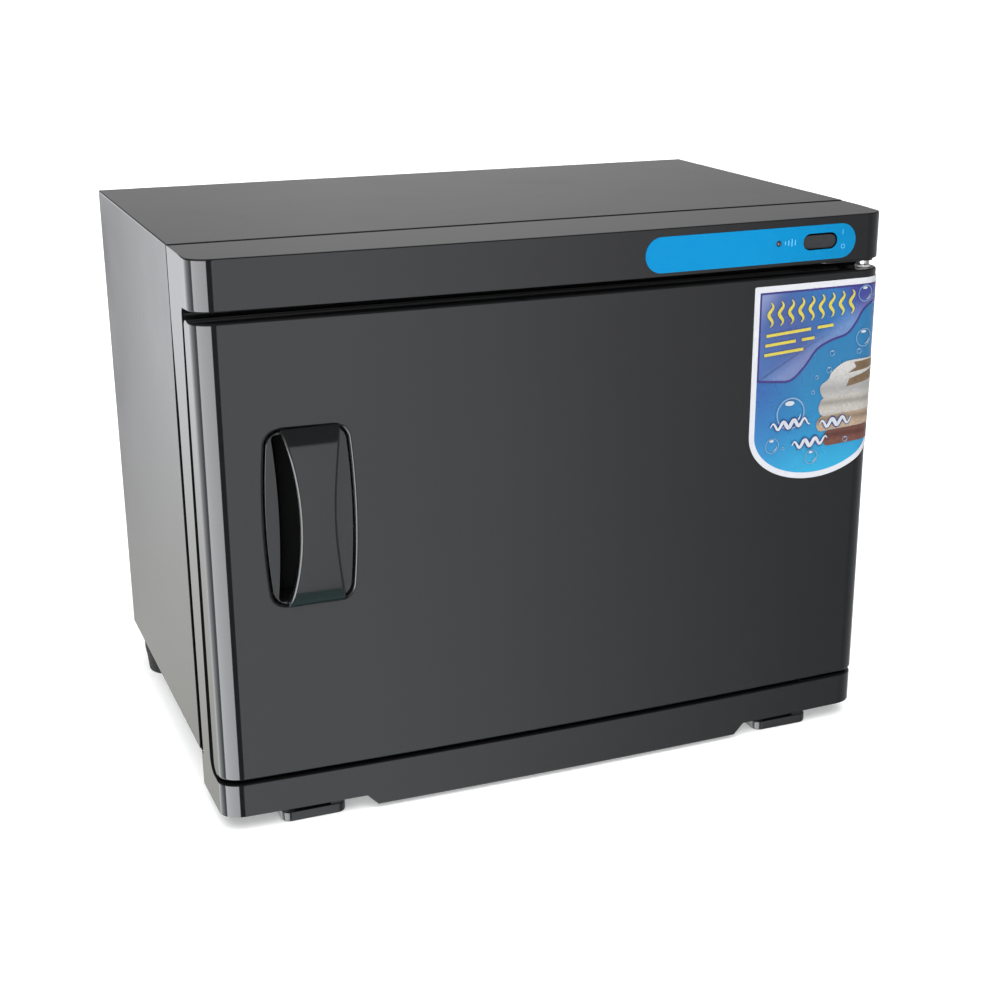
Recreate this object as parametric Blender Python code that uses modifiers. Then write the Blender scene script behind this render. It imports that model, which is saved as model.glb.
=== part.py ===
"""Table-top hot towel cabinet: steel casing, moulded front frame and a side-hung door with a bow handle.

Lengths are in millimetres and are turned into metres as each mesh is made. X runs across the cabinet with 0 at
its middle, Y runs from front to back with 0 at the ends of the bowed front face, and Z is height above the table.
The finished cabinet is shifted in Y so that its bounding box is centred on the origin.
"""

import math

import bmesh
import bpy
from mathutils import Matrix, Vector

MM = 0.001

# Overall size
HALF_WIDTH = 225.0
HEIGHT = 353.0
CASE_BACK = 288.0
CROWN = 4.5  # how far the middle of the front bows out
GAP = 0.3  # clearance between pieces that touch

# Front frame
FRAME_BACK = 53.0  # seam between frame and casing
FRAME_CORNER = 12.0
FRAME_WALL = 3.0
SIDE_FOOT = 10.5  # lower edge of the frame near its ends
MIDDLE_FOOT = 3.3  # lower edge of the frame in the middle
STEP_OUTER = 134.0
STEP_INNER = 127.0
STRIP_TOP = 32.5
PANEL_BOTTOM = 323.0
FLANGE_FRONT = 22.5
FLANGE_BACK = 25.5
LIP_BACK = 61.0

# Casing, base and back
SHEET = 0.8
CASE_BOTTOM = 33.0
CASE_FRONT = 53.8
RETURN = 12.0
BASE_Z = 34.1
REAR_Y = 285.9

# Chamber
MOUTH_X = 180.0
MOUTH_Z0 = 70.0
MOUTH_Z1 = 285.0
CHAMBER_BACK = 242.0
CHAMBER_WALL = 1.0

# Door
DOOR_Z0 = 35.5
DOOR_Z1 = 316.5
DOOR_BACK = 20.0
DOOR_CORNER = 10.0
DOOR_WALL = 2.5
STILE_X = 202.0  # the hinge stile is solid from here to the edge
HINGE_X = 215.0
HINGE_Y = 10.0
PIN_R = 2.5
BUSH_R = 3.7
LINER_FRONT = 17.0
LINER_BACK = 19.5

# Handle and its cup
HANDLE_X = -161.5
HANDLE_Z = 198.5
HANDLE_HALF = 54.5
HANDLE_END_W = 17.5
HANDLE_WAIST = 10.2
HANDLE_FRONT = -14.6
HANDLE_T = 4.0
LEG_OUTER = 47.2
LEG_INNER = 40.0
CUP_HALF_Z = 53.5
CUP_END_W = 22.0
CUP_MID_W = 28.0
CUP_FLOOR = 12.0
CUP_BACK = 15.0

# Control strip
STRIP_X0 = 51.0
STRIP_X1 = 201.0
STRIP_Z = 336.5
STRIP_H = 22.0
SWITCH_X = 174.6
SWITCH_Z = 337.2
SWITCH_W = 25.4
SWITCH_H = 10.4
ROCKER_TILT = math.radians(6.0)
ROCKER_Y = 3.0
LAMP_X = 144.0
LAMP_Z = 337.8

# Rack, tray and rails
RACK_Z = 161.8
RACK_FRONT = 42.0
RACK_BACK = 237.0
TRAY_FRONT = 40.0

# Feet
PAD_X0 = 146.0
PAD_X1 = 187.5
REAR_FOOT_X = 203.0
REAR_FOOT_Y = 268.0
FRONT_SEAT = 18.0  # height of the ledge that a front foot's screw head pulls up against
REAR_SEAT = 22.0

# Cord inlet
GLAND_X = 150.0
GLAND_Z = 62.0
GLAND_BACK = 296.0
GLAND_BORE = 3.6

Y_SHIFT = -(GLAND_BACK + HANDLE_FRONT) / 2.0

SEGMENTS = 20  # facets round a small cylinder


# ---------------------------------------------------------------- scene and materials

def clear_scene():
    for obj in list(bpy.data.objects):
        bpy.data.objects.remove(obj, do_unlink=True)


def new_collection(name):
    group = bpy.data.collections.new(name)
    bpy.context.scene.collection.children.link(group)
    return group


def make_material(name, colour, roughness, metallic=0.0):
    mat = bpy.data.materials.new(name)
    mat.use_nodes = True
    shader = mat.node_tree.nodes["Principled BSDF"]
    shader.inputs["Base Color"].default_value = (*colour, 1.0)
    shader.inputs["Roughness"].default_value = roughness
    shader.inputs["Metallic"].default_value = metallic
    mat.diffuse_color = (*colour, 1.0)
    return mat


clear_scene()
PARTS = new_collection("hot_towel_cabinet")
CUTTERS = new_collection("cutters")

BLACK_PAINT = make_material("black_paint", (0.035, 0.035, 0.037), 0.22)
BLACK_ABS = make_material("black_abs", (0.02, 0.02, 0.021), 0.12)
DARK_PLASTIC = make_material("dark_plastic", (0.03, 0.03, 0.03), 0.5)
RUBBER = make_material("rubber", (0.025, 0.025, 0.025), 0.8)
ALUMINIUM = make_material("aluminium", (0.75, 0.75, 0.76), 0.3, 1.0)
ZINC = make_material("zinc_steel", (0.6, 0.6, 0.58), 0.35, 1.0)
WIRE_STEEL = make_material("wire_steel", (0.7, 0.7, 0.7), 0.25, 1.0)
FOAM = make_material("foam", (0.8, 0.75, 0.6), 0.95)
LINER = make_material("liner", (0.82, 0.82, 0.8), 0.4)
BLUE = make_material("blue_overlay", (0.0, 0.3, 0.68), 0.3)
LABEL = make_material("label_film", (0.15, 0.4, 0.7), 0.35)
RED_LENS = make_material("red_lens", (0.4, 0.03, 0.02), 0.25)
SILICONE = make_material("silicone", (0.6, 0.12, 0.05), 0.7)
CERAMIC = make_material("ceramic", (0.85, 0.83, 0.78), 0.6)
BROWN_WIRE = make_material("brown_wire", (0.18, 0.06, 0.02), 0.5)
BLUE_WIRE = make_material("blue_wire", (0.02, 0.08, 0.4), 0.5)


# ---------------------------------------------------------------- meshes

def place(x, y, z):
    """A point of the design, in metres in the finished frame."""
    return Vector((x, y + Y_SHIFT, z)) * MM


def add_object(name, mesh, material):
    obj = bpy.data.objects.new(name, mesh)
    group = CUTTERS if material is None else PARTS
    group.objects.link(obj)
    if material is None:
        obj.hide_render = True
        obj.display_type = "WIRE"
    else:
        mesh.materials.clear()
        mesh.materials.append(material)
        mesh.shade_smooth()
        mesh.set_sharp_from_angle(angle=math.radians(30))
    return obj


def finish_mesh(bm, name):
    bmesh.ops.remove_doubles(bm, verts=bm.verts, dist=1e-6)
    bmesh.ops.recalc_face_normals(bm, faces=bm.faces)
    mesh = bpy.data.meshes.new(name)
    bm.to_mesh(mesh)
    bm.free()
    return mesh


def box(name, xs, ys, zs, material=None, bevel=0.0, segments=2):
    bm = bmesh.new()
    bmesh.ops.create_cube(bm, size=1.0)
    centre = place(sum(xs) / 2, sum(ys) / 2, sum(zs) / 2)
    size = Vector((xs[1] - xs[0], ys[1] - ys[0], zs[1] - zs[0])) * MM
    bmesh.ops.scale(bm, vec=size, verts=bm.verts)
    obj = add_object(name, finish_mesh(bm, name), material)
    obj.location = centre
    if bevel:
        round_edges(obj, bevel, segments)
    return obj


def round_edges(obj, width, segments=2, angle=40.0):
    mod = obj.modifiers.new("rounded_edges", "BEVEL")
    mod.width = width * MM
    mod.segments = segments
    mod.limit_method = "ANGLE"
    mod.angle_limit = math.radians(angle)
    return mod


def prism(name, loops, plane, low, high, material=None):
    """Outlines in a plane, thickened from low to high along the third axis. Inner loops are holes."""
    curve = bpy.data.curves.new(name, "CURVE")
    curve.dimensions = "2D"
    curve.fill_mode = "BOTH"
    curve.extrude = (high - low) / 2 * MM
    for loop in loops:
        spline = curve.splines.new("POLY")
        spline.points.add(len(loop) - 1)
        for point, (u, v) in zip(spline.points, loop):
            point.co = (u * MM, v * MM, 0.0, 1.0)
        spline.use_cyclic_u = True
    guide = bpy.data.objects.new(name + "_outline", curve)
    CUTTERS.objects.link(guide)
    bpy.context.view_layer.update()
    mesh = bpy.data.meshes.new_from_object(guide.evaluated_get(bpy.context.evaluated_depsgraph_get()))
    bpy.data.objects.remove(guide, do_unlink=True)
    bm = bmesh.new()
    bm.from_mesh(mesh)
    bpy.data.meshes.remove(mesh)
    axes = {"XY": ((1, 0, 0), (0, 1, 0), (0, 0, 1)),
            "XZ": ((1, 0, 0), (0, 0, 1), (0, 1, 0)),
            "YZ": ((0, 1, 0), (0, 0, 1), (1, 0, 0))}[plane]
    turn = Matrix(axes).transposed().to_4x4()
    bmesh.ops.transform(bm, matrix=turn, verts=bm.verts)
    obj = add_object(name, finish_mesh(bm, name), material)
    middle = (low + high) / 2
    obj.location = {"XY": place(0, 0, middle), "XZ": place(0, middle, 0), "YZ": place(middle, 0, 0)}[plane]
    return obj


def turned(name, profile, centre, axis, material=None, segments=SEGMENTS):
    """A solid of revolution. The profile is (radius, height) from the first end to the last along the axis."""
    bm = bmesh.new()
    points = [(0.0, profile[0][1])] + list(profile) + [(0.0, profile[-1][1])]
    verts = [bm.verts.new((r * MM, 0.0, h * MM)) for r, h in reversed(points)]
    for first, second in zip(verts, verts[1:]):
        bm.edges.new((first, second))
    obj = add_object(name, finish_mesh(bm, name), material)
    mod = obj.modifiers.new("turn", "SCREW")
    mod.axis = "Z"
    mod.steps = mod.render_steps = segments
    mod.use_merge_vertices = True
    mod.merge_threshold = 1e-6
    obj.location = place(*centre)
    obj.rotation_euler = {"X": (0, math.pi / 2, 0), "Y": (-math.pi / 2, 0, 0), "Z": (0, 0, 0)}[axis]
    return obj


def sleeve(name, profile, bore, centre, axis, material):
    """A turned piece with a hole right through it."""
    obj = turned(name, profile, centre, axis, material)
    low, high = profile[0][1] - 5, profile[-1][1] + 5
    cut(obj, turned(name + "_bore", [(bore, low), (bore, high)], centre, axis))
    return obj


def tube(name, points, radius, material, smooth_steps=0):
    """A round wire through the given points, with closed ends."""
    curve = bpy.data.curves.new(name, "CURVE")
    curve.dimensions = "3D"
    curve.bevel_depth = radius * MM
    curve.bevel_resolution = 2
    curve.use_fill_caps = True
    spline = curve.splines.new("POLY")
    path = smooth_path(points, smooth_steps) if smooth_steps else points
    spline.points.add(len(path) - 1)
    for point, co in zip(spline.points, path):
        point.co = (*place(*co), 1.0)
    guide = bpy.data.objects.new(name + "_path", curve)
    CUTTERS.objects.link(guide)
    bpy.context.view_layer.update()
    mesh = bpy.data.meshes.new_from_object(guide.evaluated_get(bpy.context.evaluated_depsgraph_get()))
    bpy.data.objects.remove(guide, do_unlink=True)
    bm = bmesh.new()
    bm.from_mesh(mesh)
    bpy.data.meshes.remove(mesh)
    return add_object(name, finish_mesh(bm, name), material)


def smooth_path(points, steps):
    """A Catmull-Rom curve through the points, read at equal steps."""
    pts = [Vector(p) for p in points]
    pts = [2 * pts[0] - pts[1]] + pts + [2 * pts[-1] - pts[-2]]
    path = []
    for i in range(1, len(pts) - 2):
        for k in range(steps):
            t = k / steps
            a, b, c, d = pts[i - 1:i + 3]
            path.append(0.5 * (2 * b + (c - a) * t + (2 * a - 5 * b + 4 * c - d) * t * t
                               + (3 * b - a - 3 * c + d) * t ** 3))
    path.append(pts[-2])
    return path


def combine(obj, other, operation):
    mod = obj.modifiers.new(operation.lower(), "BOOLEAN")
    mod.operation = operation
    mod.solver = "EXACT"
    mod.object = other
    return obj


def cut(obj, *others):
    for other in others:
        combine(obj, other, "DIFFERENCE")
    return obj


def join(obj, *others):
    for other in others:
        combine(obj, other, "UNION")
    return obj


def keep(obj, *others):
    for other in others:
        combine(obj, other, "INTERSECT")
    return obj


# ---------------------------------------------------------------- outlines

def arc(cx, cy, radius, start, end, steps):
    angles = [math.radians(start + (end - start) * i / steps) for i in range(steps + 1)]
    return [(cx + radius * math.cos(a), cy + radius * math.sin(a)) for a in angles]


def rectangle(u0, u1, v0, v1):
    return [(u0, v0), (u1, v0), (u1, v1), (u0, v1)]


def rounded(u0, u1, v0, v1, radius, steps=3):
    return (arc(u1 - radius, v0 + radius, radius, -90, 0, steps)
            + arc(u1 - radius, v1 - radius, radius, 0, 90, steps)
            + arc(u0 + radius, v1 - radius, radius, 90, 180, steps)
            + arc(u0 + radius, v0 + radius, radius, 180, 270, steps))


def stadium(cu, cv, width, height, steps=8):
    r = height / 2
    return (arc(cu + width / 2 - r, cv, r, -90, 90, steps)
            + arc(cu - width / 2 + r, cv, r, 90, 270, steps))


def circle(cu, cv, radius, steps=14):
    return arc(cu, cv, radius, 0, 360, steps)[:-1]


def front_y(x):
    """The bowed front face."""
    return -CROWN * (1 - (x / HALF_WIDTH) ** 2)


def plan(inset, back, corner, rear_right=0.0, steps=20):
    """The cabinet's outline from above, from the left back corner round the front to the right back corner."""
    half = HALF_WIDTH - inset
    r = corner - inset
    cx = half - r
    cy = front_y(cx) + inset + r
    outline = [(-half, back)] + arc(-cx, cy, r, 180, 270, 5)
    outline += [(-cx + 2 * cx * i / steps, front_y(-cx + 2 * cx * i / steps) + inset) for i in range(1, steps)]
    outline += arc(cx, cy, r, 270, 360, 5)
    if rear_right:
        outline += arc(half - rear_right, back - rear_right, rear_right, 0, 90, 5)[1:]
    else:
        outline.append((half, back))
    return outline


def barrel(half_z, end_w, mid_w, steps=10):
    """An upright outline whose two long sides bow out (or in) between its ends."""
    right = [(mid_w + (end_w - mid_w) * t * t, half_z * t)
             for t in (-1 + 2 * i / steps for i in range(steps + 1))]
    outline = right + [(-u, v) for u, v in reversed(right)]
    return [(HANDLE_X + u, HANDLE_Z + v) for u, v in outline]


# ---------------------------------------------------------------- casing and frame

def build_outer_casing():
    """Steel sheet folded over the top and both sides, with narrow returns at the back and underneath."""
    h, top, t = HALF_WIDTH, HEIGHT, SHEET
    outer = [(-h, CASE_BOTTOM)] + arc(-h + 2, top - 2, 2, 180, 90, 2) + arc(h - 2, top - 2, 2, 90, 0, 2)
    outer += [(h, CASE_BOTTOM)]
    inner = [(h - t, CASE_BOTTOM)] + arc(h - 2, top - 2, 2 - t, 0, 90, 2)
    inner += arc(-h + 2, top - 2, 2 - t, 90, 180, 2) + [(-h + t, CASE_BOTTOM)]
    casing = prism("outer_casing", [outer + inner], "XZ", CASE_FRONT, CASE_BACK, BLACK_PAINT)
    e = t / 2
    back = [(-h + e, CASE_BOTTOM), (-h + e, top - e), (h - e, top - e), (h - e, CASE_BOTTOM),
            (h - RETURN, CASE_BOTTOM), (h - RETURN, top - RETURN), (-h + RETURN, top - RETURN),
            (-h + RETURN, CASE_BOTTOM)]
    join(casing, prism("casing_back_return", [back], "XZ", CASE_BACK - t, CASE_BACK))
    for side in (-1, 1):
        xs = sorted((side * (h - e), side * (h - 42)))
        join(casing, box("casing_bottom_return", xs, (CASE_FRONT, CASE_BACK - e), (CASE_BOTTOM, CASE_BOTTOM + t)))
        cut(casing, turned("casing_foot_hole", [(2.3, 20), (2.3, 50)], (side * REAR_FOOT_X, REAR_FOOT_Y, 0), "Z",
                           None, 10))
    for x, z in rear_screw_places():
        cut(casing, turned("casing_screw_hole", [(1.9, 280), (1.9, 300)], (x, 0, z), "Y", None, 10))
    return casing


def rear_screw_places():
    side, low, high = HALF_WIDTH - 6.0, 60.0, HEIGHT - 6.0
    return [(-side, low), (-side, 200.0), (side, low), (side, 200.0), (-110.0, high), (110.0, high)]


def build_front_frame():
    """One moulding: control housing on top, two side strips, the bottom strip and the flange round the mouth."""
    frame = prism("front_frame", [plan(0, FRAME_BACK, FRAME_CORNER)], "XY", MIDDLE_FOOT, HEIGHT, BLACK_ABS)
    inset = SHEET + 2 * GAP
    lip = prism("frame_lip", [rectangle(-HALF_WIDTH + inset, HALF_WIDTH - inset, CASE_BOTTOM + 3, HEIGHT - inset)],
                "XZ", FRAME_BACK - 5, LIP_BACK)
    join(frame, lip)
    # door recess, with the soft corners seen from the side
    low, high, back = STRIP_TOP, PANEL_BOTTOM, FLANGE_FRONT
    recess = [(-40, low)] + arc(back - 8, low + 8, 8, -90, 0, 4) + arc(back - 4, high - 4, 4, 0, 90, 3) + [(-40, high)]
    cut(frame, prism("door_recess", [recess], "YZ", -HALF_WIDTH - 10, HALF_WIDTH + 10))
    # stepped lower edge
    for side in (-1, 1):
        step = [(side * (HALF_WIDTH + 5), -5), (side * (HALF_WIDTH + 5), SIDE_FOOT), (side * STEP_OUTER, SIDE_FOOT),
                (side * STEP_INNER, MIDDLE_FOOT), (side * STEP_INNER, -5)]
        cut(frame, prism("lower_edge_step", [step], "XZ", -40, LIP_BACK + 10))
    # hollows behind the walls
    w = FRAME_WALL
    inner = plan(w, LIP_BACK + 10, FRAME_CORNER)
    cut(frame, prism("housing_hollow", [inner], "XY", PANEL_BOTTOM + w, HEIGHT - w))
    cut(frame, prism("strip_hollow", [inner], "XY", -10, STRIP_TOP - w))
    cut(frame, box("frame_back_hollow", (-HALF_WIDTH + w + 1, HALF_WIDTH - w - 1), (FLANGE_BACK, LIP_BACK + 10),
                   (STRIP_TOP - w - 5, PANEL_BOTTOM + w + 5)))
    mouth = rounded(-MOUTH_X, MOUTH_X, MOUTH_Z0, MOUTH_Z1, 8)
    cut(frame, prism("mouth", [mouth], "XZ", 10, LIP_BACK + 10))
    # control openings, magnet window and the blind holes of the front feet
    cut(frame, prism("switch_window", [stadium(SWITCH_X, SWITCH_Z, SWITCH_W, SWITCH_H)], "XZ", -10, 10))
    cut(frame, prism("lamp_hole", [circle(LAMP_X, LAMP_Z, 1.8)], "XZ", -10, 10))
    cut(frame, box("magnet_window", (-217.3, -203.7), (15, 30), (170.7, 205.3)))
    for side in (-1, 1):
        x = side * (PAD_X0 + PAD_X1) / 2
        cut(frame, turned("foot_screw_hole", [(2.2, 20), (2.2, STRIP_TOP - 0.9)], (x, 15, 0), "Z"))
    return frame


def build_rear_panel():
    x1 = HALF_WIDTH - SHEET - 2 * GAP
    loops = [rectangle(-x1, x1, BASE_Z + SHEET + GAP + 0.6, HEIGHT - SHEET - 2 * GAP)]
    for row_z in (96.0, 300.0):
        for i in range(9):
            x = -104.0 + 26.0 * i
            loops.append(rounded(x - 1.8, x + 1.8, row_z - 16, row_z + 16, 1.2, 1))
    loops.append(circle(GLAND_X, GLAND_Z, 7.0, 16))
    loops += [circle(x, z, 1.9, 10) for x, z in rear_screw_places()]
    return prism("rear_panel", loops, "XZ", REAR_Y, REAR_Y + SHEET, BLACK_PAINT)


def build_base_plate():
    """Floor of the casing. Its front is narrower, to lie between the frame's side walls."""
    x1, x0 = HALF_WIDTH - SHEET - 2 * GAP, HALF_WIDTH - FRAME_WALL - 1 - 2 * GAP
    step, front, back = LIP_BACK + 1.5, FLANGE_BACK + 1.5, REAR_Y - GAP
    loops = [[(-x0, front), (x0, front), (x0, step), (x1, step), (x1, back), (-x1, back), (-x1, step), (-x0, step)]]
    loops += [circle(side * REAR_FOOT_X, REAR_FOOT_Y, 2.3, 12) for side in (-1, 1)]
    for i in range(7):
        x = -90.0 + 30.0 * i
        loops.append(rounded(x - 2.0, x + 2.0, 252, 276, 1.3, 1))
    return prism("base_plate", loops, "XY", BASE_Z, BASE_Z + SHEET, ZINC)


def build_feet():
    column_top = STRIP_TOP - FRAME_WALL - GAP
    for side, label in ((-1, "left"), (1, "right")):
        x0, x1 = sorted((side * PAD_X0, side * PAD_X1))
        mid = (x0 + x1) / 2
        pad = prism("foot_front_" + label, [rounded(x0, x1, 1.2, 32, 6, 3)], "XY", 0, 6.5, RUBBER)
        join(pad, prism("foot_column", [rounded(mid - 12, mid + 12, 5, 25, 3, 2)], "XY", 5, column_top))
        cut(pad, turned("front_foot_bore", [(5.2, -5), (5.2, FRONT_SEAT), (2.2, FRONT_SEAT), (2.2, 60)],
                        (mid, 15, 0), "Z", None, 12))
        x, y = side * REAR_FOOT_X, REAR_FOOT_Y
        foot = turned("foot_rear_" + label, [(8.5, 0), (16.5, 12), (18.3, 17), (18.3, CASE_BOTTOM - GAP)],
                      (x, y, 0), "Z", RUBBER, 16)
        cut(foot, turned("rear_foot_bore", [(5.2, -5), (5.2, REAR_SEAT), (2.3, REAR_SEAT), (2.3, 60)],
                         (x, y, 0), "Z", None, 12))
        head = 2.6 + GAP
        screw("foot_screw_front_" + label, (mid, 15, FRONT_SEAT - head), "Z", 4.2, 2.6, 16.0, 1.8)
        screw("foot_screw_rear_" + label, (x, y, REAR_SEAT - head), "Z", 4.2, 2.6, 20.0, 1.8)


def screw(name, start, axis, head_r, head_t, length, shank_r, sign=1, segments=8):
    """A pan-head screw whose head starts at a point and whose shank runs along the axis."""
    profile = [(head_r * 0.8, 0), (head_r, head_t * 0.45), (head_r, head_t), (shank_r, head_t), (shank_r, length)]
    if sign < 0:
        profile = [(r, -h) for r, h in reversed(profile)]
    return turned(name, profile, start, axis, ZINC, segments)


def build_rear_screws():
    for index, (x, z) in enumerate(rear_screw_places(), 1):
        screw("rear_screw_%d" % index, (x, CASE_BACK + 2.3, z), "Y", 3.6, 2.0, 9.0, 1.6, sign=-1)


def build_cord_gland():
    """The cord inlet bush in the rear panel. It has a bore for the mains cord."""
    y = REAR_Y
    profile = [(8.6, y - 3.6), (8.6, y - GAP), (6.6, y - GAP), (6.6, y + SHEET + GAP), (9.2, y + SHEET + GAP),
               (9.2, y + 5), (6.4, GLAND_BACK)]
    return sleeve("cord_gland", profile, GLAND_BORE, (GLAND_X, 0, GLAND_Z), "Y", DARK_PLASTIC)


# ---------------------------------------------------------------- chamber and electrics

def build_inner_chamber():
    """Aluminium liner box, open at the front, with a flange behind the frame's mouth."""
    t = CHAMBER_WALL
    flange_y = FLANGE_BACK + GAP
    outer = rounded(-MOUTH_X - t, MOUTH_X + t, MOUTH_Z0 - t, MOUTH_Z1 + t, 8 + t)
    hollow = rounded(-MOUTH_X, MOUTH_X, MOUTH_Z0, MOUTH_Z1, 8)
    flange = rounded(-MOUTH_X - 11, MOUTH_X + 11, MOUTH_Z0 - 11, MOUTH_Z1 + 11, 12)
    chamber = prism("inner_chamber", [outer], "XZ", flange_y, CHAMBER_BACK + t, ALUMINIUM)
    join(chamber, prism("chamber_flange", [flange], "XZ", flange_y, flange_y + t))
    return cut(chamber, prism("chamber_hollow", [hollow], "XZ", 10, CHAMBER_BACK))


def build_insulation():
    y0, y1 = LIP_BACK + 1.0, CHAMBER_BACK + 1.0
    box("insulation_top", (-178, 178), (y0, y1), (MOUTH_Z1 + 1.3, MOUTH_Z1 + 34), FOAM)
    box("insulation_left", (-221, -181.5), (y0, y1), (42, 318), FOAM)
    box("insulation_right", (181.5, 221), (y0, y1), (42, 318), FOAM)
    box("insulation_rear", (-178, 62), (y1 + 0.5, 268), (118, 282), FOAM)
    box("insulation_bottom", (-178, 178), (y0, y1), (36, 56), FOAM)


def build_heater():
    box("heater_pad", (-150, 150), (66, 214), (MOUTH_Z0 - 4.5, MOUTH_Z0 - 1.3), SILICONE, 1.0, 1)
    z1, z0 = MOUTH_Z0 - 1.3, MOUTH_Z0 - 6.4
    hat = [(-172, z1 - 1.6), (-155, z1 - 1.6), (-153, z0), (153, z0), (155, z1 - 1.6), (172, z1 - 1.6), (172, z1),
           (152.5, z1), (151, z0 + 1.6), (-151, z0 + 1.6), (-152.5, z1), (-172, z1)]
    prism("heater_clamp", [hat], "XZ", 128, 152, ZINC)


def build_electrics():
    back = CHAMBER_BACK + CHAMBER_WALL + GAP
    turned("thermostat", [(11.5, 0), (11.5, 1.6), (8.5, 1.6), (8.5, 9.5), (4.0, 9.5), (4.0, 13)],
           (120, back, 180), "Y", CERAMIC, 16)
    turned("thermal_fuse", [(1.6, -14), (4.2, -10), (4.2, 10), (1.6, 14)], (120, back + 4.5, 232), "X", CERAMIC, 12)
    block = box("terminal_block", (104, 144), (252, 268), (BASE_Z + SHEET + GAP, 53), DARK_PLASTIC, 1.5, 1)
    for i in range(3):
        cut(block, box("terminal_way", (109 + 11 * i, 117 + 11 * i), (240, 280), (44, 50)))
    return block


def build_wires():
    """Inner leads, clipped along the chamber and over its top to the switch."""
    block_z, lane = 47.0, 274.0
    r = 1.2
    tube("wire_to_switch", [(113, 270, block_z), (118, lane, 70), (150, lane, 110), (160, lane, 250), (160, 268, 322),
                            (162, 240, 331), (168, 120, 333), (172, 60, 336), (SWITCH_X - 5, 31.5, SWITCH_Z)],
         r, BROWN_WIRE, 2)
    tube("wire_from_switch", [(SWITCH_X + 5, 31.5, SWITCH_Z), (184, 60, 337), (176, 120, 334), (170, 240, 333),
                              (166, 262, 322), (150, 263, 250), (133, 262, 200), (126, 259, 186),
                              (122.5, 257.4, 181)], r, BROWN_WIRE, 2)
    tube("wire_to_fuse", [(117.5, 257.4, 181), (110, 262, 190), (98, 262, 215), (100, 250, 231),
                          (105.3, back_line(), 232)], r, SILICONE, 2)
    tube("wire_fuse_to_heater", [(134.7, back_line(), 232), (142, 254, 226), (148, 258, 190), (146, 258, 110),
                                 (140, 250, 76), (136, 236, 63.5), (132, 222, 64.5), (130, 215.5, MOUTH_Z0 - 3)],
         r, SILICONE, 2)
    tube("wire_heater_return", [(100, 215.5, MOUTH_Z0 - 3), (100, 224, 64.5), (101, 238, 62), (116, 262, 62),
                                (123, 272, 56), (124, 270.2, block_z)], r, BLUE_WIRE, 2)


def back_line():
    """Depth of the thermal fuse's centre."""
    return CHAMBER_BACK + CHAMBER_WALL + GAP + 4.5


# ---------------------------------------------------------------- rack and tray

def build_rack_and_tray(rack_pivot, tray_pivot):
    for side, label in ((-1, "left"), (1, "right")):
        xw, xi, xt = side * (MOUTH_X - GAP), side * (MOUTH_X - 1.5), side * (MOUTH_X - 10)
        angle = [(xw, RACK_Z - 9), (xw, RACK_Z - GAP), (xt, RACK_Z - GAP), (xt, RACK_Z - 1.5), (xi, RACK_Z - 1.5),
                 (xi, RACK_Z - 9)]
        prism("rack_rail_" + label, [angle], "XZ", 34, 238, ALUMINIUM)
    edge = MOUTH_X - 2.5
    loops = [rounded(-edge, edge, RACK_FRONT, RACK_BACK, 10, 3)]
    bays = 12
    pitch = (2 * edge - 6) / bays
    for i in range(bays):
        x0 = -edge + 3 + pitch * i + 1.2
        for y0, y1 in ((RACK_FRONT + 3, 138), (141, RACK_BACK - 3)):
            loops.append(rectangle(x0, x0 + pitch - 2.4, y0 + 1, y1 - 1))
    rack = prism("wire_rack", loops, "XY", RACK_Z, RACK_Z + 3, WIRE_STEEL)
    ride(rack, rack_pivot)
    x, y0, y1, z0, z1 = MOUTH_X - 9, TRAY_FRONT, 237, MOUTH_Z0 + GAP, MOUTH_Z0 + 15
    tray = prism("drip_tray", [rounded(-x, x, y0, y1, 8)], "XY", z0, z1, ALUMINIUM)
    cut(tray, prism("tray_hollow", [rounded(-x + 1, x - 1, y0 + 1, y1 - 1, 7)], "XY", z0 + 1, z1 + 5))
    ride(tray, tray_pivot)


# ---------------------------------------------------------------- controls

def crowned_sheet(name, x0, x1, near, far, z0, z1, material):
    """A sheet that follows the bowed front, between two distances in front of it."""
    steps = 10
    xs = [x0 + (x1 - x0) * i / steps for i in range(steps + 1)]
    outline = [(x, front_y(x) - near) for x in xs] + [(x, front_y(x) - far) for x in reversed(xs)]
    return prism(name, [outline], "XY", z0, z1, material)


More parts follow.
